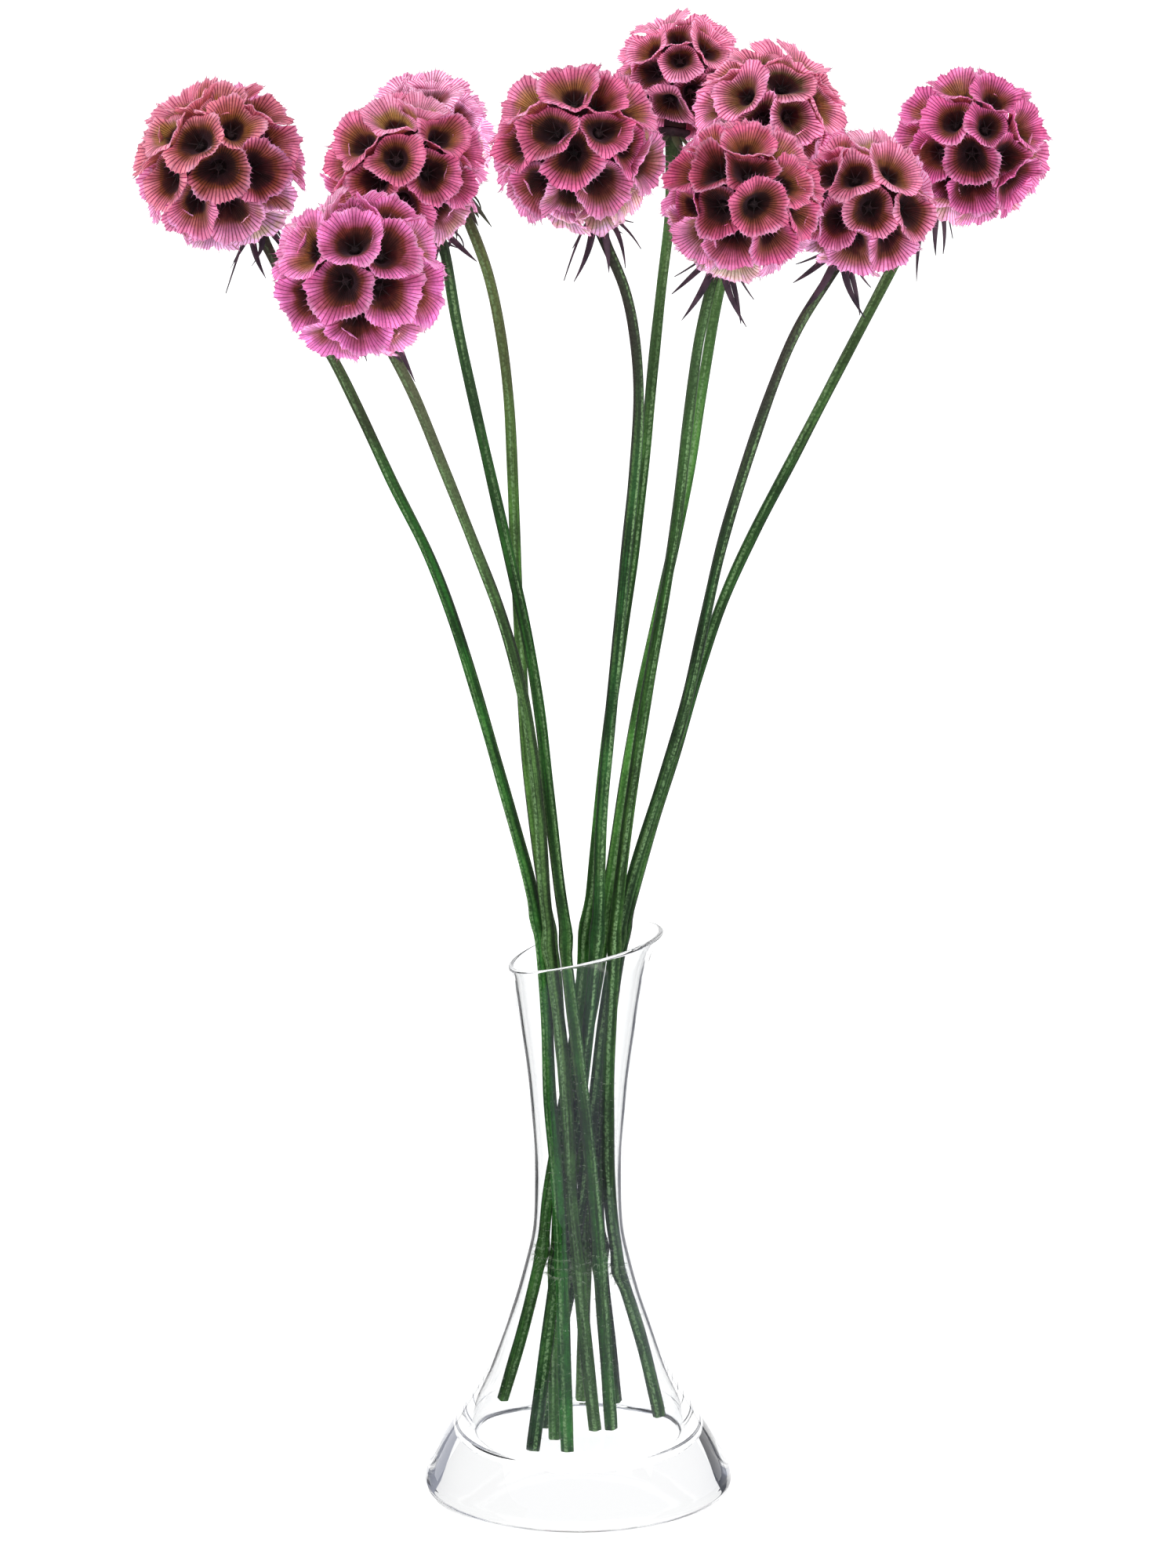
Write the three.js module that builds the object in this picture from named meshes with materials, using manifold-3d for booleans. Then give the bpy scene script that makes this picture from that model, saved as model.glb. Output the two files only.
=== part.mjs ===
// Ten cut starflower scabiosas standing in a clear glass bud vase with a slanted mouth.
// Each flower is two solids: a green stem that ends in a whorl of bracts, and the round seed head
// of papery cups that sits on it. Millimetres, +Z up, -Y is the front, and the origin is the centre
// of the vase's flat foot.

import * as THREE from "three";
import { ConvexHull } from "three/addons/math/ConvexHull.js";
import { mergeVertices } from "three/addons/utils/BufferGeometryUtils.js";
import Module from "manifold-3d";

const wasm = await Module();
wasm.setup();

const vec = (x, y, z) => new THREE.Vector3(x, y, z);
const degrees = THREE.MathUtils.degToRad;
const lerp = THREE.MathUtils.lerp;

// ---------------------------------------------------------------- driving dimensions

const CLEARANCE = 0.35; // left between solids that touch in the real bunch

const VASE = {
  sides: 31, // odd, so that the middle of the foot falls inside one of its triangles
  // [height, radius] of the outside at the rings of the mesh, foot to lip
  outside: [
    [0, 38], [2.5, 42.6], [7, 44], [14, 41.2], [26, 33.4], [38, 26.8], [52, 21.3],
    [66, 16.9], [80, 13.7], [96, 13], [138, 16.7],
  ],
  // [height, radius] of the hollow, lip to floor: a thick glass bottom carries the thin wall
  inside: [
    [138, 15.2], [96, 11.5], [80, 12.1], [66, 15], [48, 20.4], [30, 28.6], [19.5, 31.6], [14.5, 28],
  ],
  slantFrom: 138, // the slant of the mouth fades out down to this height
  rimHeight: 161.3, // at the axis
  rimSlant: degrees(13.5), // the mouth rises towards +X
  throat: 0.62, // share of the way up the slant of the ring between the last level one and the lip
  lip: [[152, 18.7], [156, 19.6], [161, 21.2], [166.5, 24.1]], // [height, outer radius] near the mouth
  wall: 1.5, // at the mouth
};

const HEAD = {
  goldenAngle: degrees(137.508),
  lastCup: degrees(146), // how far round from the crown the cups go
  rimSides: 9,
  floorSides: 5,
  floorShare: 0.46, // of the way to the neighbouring cup
  wander: 0.42, // how far a cup strays from the even spiral, as a share of the spacing
  crowding: 0.9, // rim radius as a share of the way to the neighbouring cup
  neighbourhood: degrees(69), // cups further apart than this never touch
  // distances from the globe's middle, as shares of its radius
  rim: 0.98,
  ripple: 0.03, // how far the rim rises and falls
  gap: 0.79, // where three cups meet, outside
  floor: 0.6, // of a cup
  star: 0.68, // the seed's tip in the middle of a cup
  base: 0.8, // the bare patch over the stem
};

const STEM = {
  sides: 6,
  footRadius: 2, // at the cut end
  neckRadius: 1.5, // below the head
  joints: [69, 166], // heights of the swollen leaf joints
  jointStagger: 8, // how far these differ from stem to stem
  jointSwell: 1.3,
  jointReach: 5, // half length of a joint's swelling
  bay: 27, // spacing of the rings along a straight stem
  bendBay: degrees(20), // a bend of this much takes another ring
  disc: { radius: 4.2, height: 1.2 }, // the seed head sits on it
  throat: { radius: 2, depth: 4 }, // where the disc has narrowed to the stem
  straight: 9, // the stem leaves the head along its crown's axis for this long
};

const BRACTS = {
  count: 7,
  length: 17,
  lengths: [0.8, 1.1], // from the shortest to the longest, as shares of the length
  width: 2.4,
  waist: 0.8, // width at the bend, as a share of the width at the root
  thickness: 0.9,
  rootDepth: 1.6, // below the disc's face, and in from its edge
  spread: 7, // from the root out to the bend
  bendDrop: 2.6,
  droop: { outward: 0.35, backward: 0.55, downward: 0.5 }, // which way the tip hangs from the bend
};

const SETTLE = {
  rounds: 120,
  step: 0.55, // share of a shortfall that each of two stems moves in one round
  apart: 1.6, // clearances left between two stems, which their facets need
  fromWall: 1.5, // clearances left to the glass
  reach: 1.12, // a joint's corners reach this far out of the stem's round
  slack: 8, // stems further apart in height than this don't meet
};

// The first of each kind of random draw, so that no two kinds share one.
const DRAWS = { down: 0, round: 100, ripple: 200, bractTurn: 300, bractLength: 320, joint: 400 };

// One row for each flower: head centre and diameter, the way the crown faces and a turn about it, the
// number of papery cups with the seed of their layout, and the stem's route from the head down to the
// cut end on or near the vase's floor.
const FLOWERS = [
  { head: [-98, 5, 382], diameter: 47, crown: [-0.42, -0.34, 0.84], turn: 128, cups: 36, seed: 70,
    route: [[-79, 14, 344], [-68, 13, 327], [-52, 8, 294], [-38.7, 6, 266], [-21, 3, 208], [-10.6, 1, 165],
      [-5.3, -6.4, 93], [-3, -15, 15.5]] },
  { head: [-42, 22, 387], diameter: 38, crown: [-0.46, 0.1, 0.88], turn: 124, cups: 29, seed: 152,
    route: [[-25, 18, 350], [-20, 16, 322], [-17.2, 10, 265], [-14, 7, 212], [-8, 5, 164],
      [1.5, 6.4, 93], [1, 19, 22]] },
  { head: [-47, -22, 383], diameter: 43.5, crown: [-0.4, -0.34, 0.85], turn: 16, cups: 35, seed: 32,
    route: [[-33, -9, 339], [-23.5, -8, 295], [-12.2, -6, 241], [-6, -6, 183], [-4, -6, 166],
      [4.1, -6.6, 93], [9.6, 6, 16]] },
  { head: [-58, -60, 360.5], diameter: 46, crown: [-0.22, -0.66, 0.72], turn: 352, cups: 31, seed: 210,
    route: [[-46, -39.5, 329], [-41.6, -37, 318], [-31.2, -30, 290], [-20.6, -23, 260], [-13.8, -16, 230],
      [-8, -5, 167], [-2.4, -2.4, 93], [5, 5, 16]] },
  { head: [0, -45, 392.5], diameter: 46, crown: [-0.26, -0.28, 0.92], turn: 352, cups: 35, seed: 27,
    route: [[13.4, -34, 351], [16.6, -29, 324], [12.2, -19, 266], [6.6, -10, 200], [5.4, -8, 167],
      [-2.9, 2.2, 93], [-13, -15, 15.5]] },
  { head: [29, 54, 401], diameter: 36.5, crown: [0.12, 0.2, 0.97], turn: 156, cups: 28, seed: 109,
    route: [[25.8, 48, 362], [22.6, 42, 335], [17, 29, 279], [8, 14, 217], [2.6, 6, 163],
      [-7.2, 0.6, 93], [-22.5, 14, 24]] },
  { head: [53, 22, 393], diameter: 42, crown: [0.3, 0.1, 0.95], turn: 52, cups: 30, seed: 138,
    route: [[39, 18, 344], [30, 14, 290], [17, 8, 230], [6.6, 5, 164], [-5, 5.6, 93],
      [-6.8, -3, 15.5]] },
  { head: [44, -32, 377], diameter: 43.5, crown: [0.27, -0.42, 0.87], turn: 316, cups: 40, seed: 150,
    route: [[33, -18, 336], [26.6, -13, 282], [18.6, -6, 232], [11.2, -2.5, 176], [10.2, -2.8, 160],
      [9.2, -1, 93], [24, 5, 21]] },
  { head: [78, -3, 372], diameter: 40.5, crown: [0.3, -0.5, 0.81], turn: 68, cups: 27, seed: 150,
    route: [[59.4, 8, 333], [41, 6, 279], [30, 4, 230], [12, 2.2, 168], [1.6, 2, 93],
      [-10.5, 8, 16]] },
  { head: [109, 25, 384.5], diameter: 43.5, crown: [0.46, -0.5, 0.72], turn: 324, cups: 36, seed: 201,
    route: [[83.4, 35, 340], [66.4, 29, 308], [41.4, 20, 259], [26, 12, 211], [12.8, 7.2, 164],
      [5.7, 4.7, 93], [11, 17, 22]] },
];

const COLOURS = {
  glass: { color: 0xeef4f4, roughness: 0.03, metalness: 0, transparent: true, opacity: 0.35 },
  stem: { color: 0x2f5f2e, roughness: 0.6, metalness: 0 },
  head: { color: 0xc8578f, roughness: 0.8, metalness: 0 },
};

// ---------------------------------------------------------------- meshes and solids

// A closed geometry from a list of triangles, each three points in counter-clockwise order.
function geometryOf(triangles) {
  const position = new Float32Array(triangles.flatMap((t) => t.flatMap((p) => [p.x, p.y, p.z])));
  return new THREE.BufferGeometry().setAttribute("position", new THREE.BufferAttribute(position, 3));
}

function solidOf(geometry) {
  const bare = new THREE.BufferGeometry().setAttribute("position", geometry.getAttribute("position"));
  const merged = mergeVertices(bare, 1e-4);
  return new wasm.Manifold(
    new wasm.Mesh({
      numProp: 3,
      vertProperties: merged.attributes.position.array,
      triVerts: new Uint32Array(merged.index.array),
    }),
  );
}

function geometryFromSolid(solid) {
  const mesh = solid.getMesh();
  const position = new Float32Array(mesh.numVert * 3);
  for (let i = 0; i < mesh.numVert; i++) {
    position.set(mesh.vertProperties.subarray(i * mesh.numProp, i * mesh.numProp + 3), i * 3);
  }
  return new THREE.BufferGeometry()
    .setAttribute("position", new THREE.BufferAttribute(position, 3))
    .setIndex(new THREE.BufferAttribute(mesh.triVerts, 1));
}

// Triangles of the wall between two rings of equally many points, both counter-clockwise from above.
function wall(lower, upper) {
  return lower.flatMap((p, i) => {
    const next = (i + 1) % lower.length;
    return [[p, lower[next], upper[next]], [p, upper[next], upper[i]]];
  });
}

// Triangles between two rings of different counts. Each ring is a list of { angle, point }, with the
// angles rising, seen from outside the surface.
function zip(outer, inner) {
  const turnAfter = (ring, step) =>
    ring[step % ring.length].angle + 2 * Math.PI * Math.floor(step / ring.length);
  let i = 0;
  let j = 0;
  const triangles = [];
  while (i < outer.length || j < inner.length) {
    const outerNow = outer[i % outer.length].point;
    const innerNow = inner[j % inner.length].point;
    const takeOuter =
      j >= inner.length || (i < outer.length && turnAfter(outer, i + 1) <= turnAfter(inner, j + 1));
    if (takeOuter) triangles.push([outerNow, outer[(i + 1) % outer.length].point, innerNow]);
    else triangles.push([outerNow, inner[(j + 1) % inner.length].point, innerNow]);
    if (takeOuter) i += 1;
    else j += 1;
  }
  return triangles;
}

const fan = (ring, centre) => ring.map((p, i) => [p, ring[(i + 1) % ring.length], centre]);

// Two unit vectors square to an axis and to each other, turning counter-clockwise about it.
function crossAxes(axis, hint = vec(1, 0, 0)) {
  const u = hint.clone().addScaledVector(axis, -hint.dot(axis)).normalize();
  return [u, axis.clone().cross(u)];
}

// A number from 0 to 1 that is the same on every run for the same two seeds.
function chance(seed, k) {
  const x = Math.sin(seed * 78.233 + k * 12.9898) * 43758.5453;
  return x - Math.floor(x);
}

// ---------------------------------------------------------------- vase

function alongProfile(profile, height) {
  const k = Math.max(1, profile.findIndex(([z], i) => i === profile.length - 1 || height <= z));
  const [[z0, r0], [z1, r1]] = [profile[k - 1], profile[k]];
  return lerp(r0, r1, (height - z0) / (z1 - z0));
}

function vaseGeometry() {
  const ring = (height, radius) =>
    Array.from({ length: VASE.sides }, (_, i) => {
      const a = (2 * Math.PI * i) / VASE.sides;
      return vec(radius * Math.cos(a), radius * Math.sin(a), height);
    });
  // a ring of the slanted mouth: share 0 is the last level ring below it, 1 is the lip itself
  const slantedRing = (share, inset) =>
    Array.from({ length: VASE.sides }, (_, i) => {
      const a = (2 * Math.PI * i) / VASE.sides;
      const lipRadius = alongProfile(VASE.lip, VASE.rimHeight);
      const lipHeight = VASE.rimHeight + Math.tan(VASE.rimSlant) * lipRadius * Math.cos(a);
      const height = lerp(VASE.slantFrom, lipHeight, share);
      const radius = alongProfile([VASE.outside.at(-1), ...VASE.lip], height) - inset;
      return vec(radius * Math.cos(a), radius * Math.sin(a), height);
    });
  const rings = [
    ...VASE.outside.map(([z, r]) => ring(z, r)),
    slantedRing(VASE.throat, 0),
    slantedRing(1, 0),
    slantedRing(1, VASE.wall),
    slantedRing(VASE.throat, VASE.wall),
    ...VASE.inside.map(([z, r]) => ring(z, r)),
  ];
  const foot = rings[0];
  const footFan = foot.slice(1, -1).map((p, i) => [foot[0], foot[i + 2], p]);
  return geometryOf([
    ...footFan,
    ...rings.slice(1).flatMap((upper, i) => wall(rings[i], upper)),
    ...fan(rings.at(-1), vec(0, 0, VASE.inside.at(-1)[0])),
  ]);
}

// ---------------------------------------------------------------- seed heads

// Directions of the cups of one head: a spiral from the crown round to the stem, each a little astray.
function cupDirections({ cups, seed }) {
  const reach = 1 - Math.cos(HEAD.lastCup);
  const spacing = Math.sqrt((4 * Math.PI) / cups);
  return Array.from({ length: cups }, (_, k) => {
    const polar = Math.acos(1 - (reach * (k + 0.5)) / cups);
    const stray = (draw) => (chance(seed, k + draw) - 0.5) * HEAD.wander * spacing;
    const round = Math.max(Math.sin(polar), 0.3); // next to the crown a turn moves a cup hardly at all
    return new THREE.Vector3().setFromSphericalCoords(
      1,
      polar + stray(DRAWS.down),
      k * HEAD.goldenAngle + stray(DRAWS.round) / round,
    );
  });
}

// The globe is cut into one cell for each cup and one over the stem. A cup rises from the gap round
// its cell to its rim, then falls inside to its floor and the small star in the middle.
function headGeometry(flower) {
  const radius = flower.diameter / 2;
  const stemward = vec(0, -1, 0); // the crown is +Y here, as in three.js spherical coordinates
  const cells = [...cupDirections(flower), stemward];
  const hull = new ConvexHull().setFromPoints(cells);
  const corners = cells.map(() => []);
  for (const face of hull.faces) {
    const corner = face.normal.clone().multiplyScalar(HEAD.gap * radius);
    let edge = face.edge;
    do {
      corners[cells.indexOf(edge.head().point)].push(corner);
      edge = edge.next;
    } while (edge !== face.edge);
  }
  const triangles = cells.flatMap((centre, k) => {
    const [u, v] = crossAxes(centre, Math.abs(centre.x) < 0.7 ? vec(1, 0, 0) : vec(0, 0, 1));
    const angleOf = (p) => Math.atan2(p.dot(v), p.dot(u));
    const byAngle = (a, b) => a.angle - b.angle;
    const gapRing = corners[k].map((point) => ({ angle: angleOf(point), point })).sort(byAngle);
    if (centre === stemward) {
      return fan(gapRing.map((g) => g.point), centre.clone().multiplyScalar(HEAD.base * radius));
    }
    const neighbours = cells.filter((other) => other !== centre && other.angleTo(centre) < HEAD.neighbourhood);
    // how far the cell reaches from its centre towards an angle, before the nearest neighbour's cell
    const reach = (angle) => {
      const outward = u.clone().multiplyScalar(Math.cos(angle)).addScaledVector(v, Math.sin(angle));
      const reaches = neighbours.map((other) => {
        const apart = centre.clone().sub(other);
        const slope = -apart.dot(centre) / apart.dot(outward);
        return slope > 0 ? Math.atan(slope) : Infinity;
      });
      return Math.min(...reaches);
    };
    const at = (angle, tilt, length) =>
      centre
        .clone()
        .multiplyScalar(Math.cos(tilt))
        .addScaledVector(u, Math.sin(tilt) * Math.cos(angle))
        .addScaledVector(v, Math.sin(tilt) * Math.sin(angle))
        .multiplyScalar(length * radius);
    const ring = (count, share, lengthAt) =>
      Array.from({ length: count }, (_, i) => {
        const angle = -Math.PI + (2 * Math.PI * (i + 0.5)) / count;
        return { angle, point: at(angle, reach(angle) * share, lengthAt(angle)) };
      });
    const phase = 2 * Math.PI * chance(flower.seed, k + DRAWS.ripple);
    const rim = ring(HEAD.rimSides, HEAD.crowding, (a) => HEAD.rim + HEAD.ripple * Math.sin(2 * a + phase));
    const floor = ring(HEAD.floorSides, HEAD.floorShare, () => HEAD.floor);
    return [
      ...zip(gapRing, rim),
      ...zip(rim, floor),
      ...fan(floor.map((f) => f.point), at(0, 0, HEAD.star)),
    ];
  });
  const turned = new THREE.Quaternion()
    .setFromUnitVectors(vec(0, 1, 0), crownOf(flower))
    .multiply(new THREE.Quaternion().setFromAxisAngle(vec(0, 1, 0), degrees(flower.turn)));
  return geometryOf(triangles).applyQuaternion(turned);
}

const crownOf = (flower) => vec(...flower.crown).normalize();

// The point under the head where its stem's disc meets it.
const baseOf = (flower) =>
  vec(...flower.head).addScaledVector(crownOf(flower), -(HEAD.base * flower.diameter) / 2 - CLEARANCE);

// ---------------------------------------------------------------- stems

// Stations down a stem, closer together round its joints: { point, radius, pinned }.
function stationsOf(flower) {
  const base = baseOf(flower);
  const crown = crownOf(flower);
  const below = (distance) => base.clone().addScaledVector(crown, -distance);
  const points = [below(STEM.straight), ...flower.route.map((p) => vec(...p))];
  const route = new THREE.CatmullRomCurve3(points, false, "centripetal");
  const length = route.getLength();
  const dense = route.getSpacedPoints(Math.round(length));
  const radiusAt = (share) => lerp(STEM.neckRadius, STEM.footRadius, share);
  // bays passed down to each point, counting both the way and the bending
  const passed = [0];
  for (let i = 1; i < dense.length; i++) {
    const [a, b, c] = [dense[i - 1], dense[i], dense[Math.min(i + 1, dense.length - 1)]];
    const bend = i < dense.length - 1 ? b.clone().sub(a).angleTo(c.clone().sub(b)) : 0;
    passed.push(passed[i - 1] + a.distanceTo(b) / STEM.bay + bend / STEM.bendBay);
  }
  const bays = Math.round(passed.at(-1));
  const even = Array.from({ length: bays + 1 }, (_, i) =>
    i === bays ? dense.length - 1 : passed.findIndex((share) => share >= (i * passed.at(-1)) / bays),
  );
  const jointAt = STEM.joints.map((height, k) => {
    const staggered = height + STEM.jointStagger * (chance(flower.seed, k + DRAWS.joint) - 0.5);
    return dense.findIndex((p) => p.z <= staggered);
  });
  const crowded = (i) => jointAt.some((j) => Math.abs(i - j) < 2 * STEM.jointReach && i < dense.length - 1);
  const picks = [
    ...even.filter((i) => !crowded(i)).map((i) => [i, 1]),
    ...jointAt.flatMap((j) => [[j - STEM.jointReach, 1], [j, STEM.jointSwell], [j + STEM.jointReach, 1]]),
  ].sort((a, b) => a[0] - b[0]);
  const shaft = picks.map(([i, swell]) => ({
    point: dense[i],
    radius: radiusAt(i / (dense.length - 1)) * swell,
    pinned: i === 0,
  }));
  const flare = [
    [0, STEM.disc.radius],
    [STEM.disc.height, STEM.disc.radius],
    [STEM.throat.depth, STEM.throat.radius],
  ];
  return [...flare.map(([distance, radius]) => ({ point: below(distance), radius, pinned: true })), ...shaft];
}

// The hollow's radius at a height, for keeping the stems inside the vase.
const hollowRadius = (height) =>
  height > VASE.slantFrom
    ? alongProfile([VASE.outside.at(-1), ...VASE.lip], height) - VASE.wall
    : alongProfile([...VASE.inside].reverse(), height);

// Nearest shares along two segments, by alternating projection.
function nearest(a, b, c, d) {
  const ab = b.clone().sub(a);
  const cd = d.clone().sub(c);
  let s = 0.5;
  let t = 0.5;
  for (let i = 0; i < 6; i++) {
    const onFirst = a.clone().addScaledVector(ab, s);
    t = THREE.MathUtils.clamp(onFirst.sub(c).dot(cd) / cd.lengthSq(), 0, 1);
    const onSecond = c.clone().addScaledVector(cd, t);
    s = THREE.MathUtils.clamp(onSecond.sub(a).dot(ab) / ab.lengthSq(), 0, 1);
  }
  return [s, t];
}

// Pushes stems sideways until every two pass each other with a clearance and all stay in the vase.
function settle(stems) {
  const push = (station, by) => {
    if (!station.pinned) station.point.add(by);
  };
  const sharedPush = (stem, i, share, by) => {
    push(stem[i], by.clone().multiplyScalar(1 - share));
    push(stem[i + 1], by.clone().multiplyScalar(share));
  };
  const partStems = (first, second) => {
    for (let i = 0; i < first.length - 1; i++) {
      for (let j = 0; j < second.length - 1; j++) {
        const [a, b, c, d] = [first[i], first[i + 1], second[j], second[j + 1]];
        if (a.point.z < d.point.z - SETTLE.slack || c.point.z < b.point.z - SETTLE.slack) continue;
        const [s, t] = nearest(a.point, b.point, c.point, d.point);
        const from = a.point.clone().lerp(b.point, s);
        const apart = from.sub(c.point.clone().lerp(d.point, t)).setZ(0);
        const needed = lerp(a.radius, b.radius, s) + lerp(c.radius, d.radius, t) + SETTLE.apart * CLEARANCE;
        const short = needed - apart.length();
        if (short <= 0) continue;
        apart.setLength(SETTLE.step * short);
        sharedPush(first, i, s, apart);
        sharedPush(second, j, t, apart.negate());
      }
    }
  };
  for (let round = 0; round < SETTLE.rounds; round++) {
    stems.forEach((first, i) => stems.slice(i + 1).forEach((second) => partStems(first, second)));
    for (const station of stems.flat()) {
      if (station.point.z > VASE.rimHeight) continue;
      const taken = SETTLE.reach * station.radius + SETTLE.fromWall * CLEARANCE;
      const room = hollowRadius(station.point.z) - taken;
      const out = Math.hypot(station.point.x, station.point.y);
      if (out > room) push(station, vec(station.point.x, station.point.y, 0).multiplyScalar(room / out - 1));
    }
  }
  return stems;
}

function stemGeometry(stations, flower) {
  const rings = stations.map(({ point, radius }, i) => {
    const before = stations[Math.max(i - 1, 0)].point;
    const after = stations[Math.min(i + 1, stations.length - 1)].point;
    const upward = i < 3 ? crownOf(flower) : before.clone().sub(after).normalize();
    const [u, v] = crossAxes(upward);
    return Array.from({ length: STEM.sides }, (_, k) => {
      const a = (2 * Math.PI * k) / STEM.sides;
      return point.clone().addScaledVector(u, radius * Math.cos(a)).addScaledVector(v, radius * Math.sin(a));
    });
  });
  const footRing = [...rings.at(-1)].reverse();
  const tube = geometryOf([
    ...fan(rings[0], stations[0].point),
    ...rings.slice(1).flatMap((lower, i) => wall(lower, rings[i])),
    ...fan(footRing, stations.at(-1).point),
  ]);
  const solid = bracts(flower).reduce((body, bract) => body.add(solidOf(bract)), solidOf(tube));
  return geometryFromSolid(solid);
}

// Narrow pointed bracts that spread from under the head and droop.
function bracts(flower) {
  const crown = crownOf(flower);
  const [u, v] = crossAxes(crown);
  return Array.from({ length: BRACTS.count }, (_, k) => {
    const angle = (2 * Math.PI * (k + 0.5 * chance(flower.seed, k + DRAWS.bractTurn))) / BRACTS.count;
    const outward = u.clone().multiplyScalar(Math.cos(angle)).addScaledVector(v, Math.sin(angle));
    const length = BRACTS.length * lerp(...BRACTS.lengths, chance(flower.seed, k + DRAWS.bractLength));
    const root = baseOf(flower)
      .addScaledVector(crown, -BRACTS.rootDepth)
      .addScaledVector(outward, STEM.disc.radius - BRACTS.rootDepth);
    const middle = root
      .clone()
      .addScaledVector(outward, BRACTS.spread)
      .addScaledVector(crown, -BRACTS.bendDrop);
    const droop = vec(0, 0, -BRACTS.droop.downward)
      .addScaledVector(outward, BRACTS.droop.outward)
      .addScaledVector(crown, -BRACTS.droop.backward)
      .normalize();
    const tip = middle.clone().addScaledVector(droop, length - BRACTS.spread);
    const across = crown.clone().cross(outward);
    const section = (centre, width, thickness, normal) => [
      centre.clone().addScaledVector(across, width / 2),
      centre.clone().addScaledVector(across, -width / 2),
      centre.clone().addScaledVector(normal, -thickness),
    ];
    const start = section(root, BRACTS.width, BRACTS.thickness, crown);
    const bend = crown.clone().add(outward).normalize();
    const waist = section(middle, BRACTS.waist * BRACTS.width, BRACTS.thickness, bend);
    return geometryOf([[start[0], start[2], start[1]], ...wall(start, waist), ...fan(waist, tip)]);
  });
}

// ---------------------------------------------------------------- the bunch

function named(name, geometry, finish) {
  const mesh = new THREE.Mesh(geometry, new THREE.MeshStandardMaterial(finish));
  mesh.name = name;
  return mesh;
}

const bunch = new THREE.Group();
bunch.add(named("vase", vaseGeometry(), COLOURS.glass));

const stems = settle(FLOWERS.map(stationsOf));
FLOWERS.forEach((flower, i) => {
  const number = String(i + 1).padStart(2, "0");
  const head = named(`head_${number}`, headGeometry(flower), COLOURS.head);
  head.position.set(...flower.head);
  bunch.add(head);
  bunch.add(named(`stem_${number}`, stemGeometry(stems[i], flower), COLOURS.stem));
});

export default bunch;
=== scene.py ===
import math

import bpy
import numpy as np
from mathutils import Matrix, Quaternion, Vector


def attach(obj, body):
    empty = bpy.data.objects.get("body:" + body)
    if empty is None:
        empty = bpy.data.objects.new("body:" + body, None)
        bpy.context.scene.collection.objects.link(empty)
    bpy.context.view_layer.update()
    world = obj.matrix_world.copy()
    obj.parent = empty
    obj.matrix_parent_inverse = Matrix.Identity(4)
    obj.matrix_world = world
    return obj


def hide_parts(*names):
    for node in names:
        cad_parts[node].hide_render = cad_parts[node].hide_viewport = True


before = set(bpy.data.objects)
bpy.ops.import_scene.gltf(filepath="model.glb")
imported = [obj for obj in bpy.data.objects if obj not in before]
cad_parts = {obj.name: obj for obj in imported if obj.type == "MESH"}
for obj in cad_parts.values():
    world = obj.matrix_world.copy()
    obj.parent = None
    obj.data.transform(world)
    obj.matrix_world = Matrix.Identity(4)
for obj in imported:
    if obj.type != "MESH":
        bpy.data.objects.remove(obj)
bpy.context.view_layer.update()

mm = 0.001
white = (1, 1, 1, 1)

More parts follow.
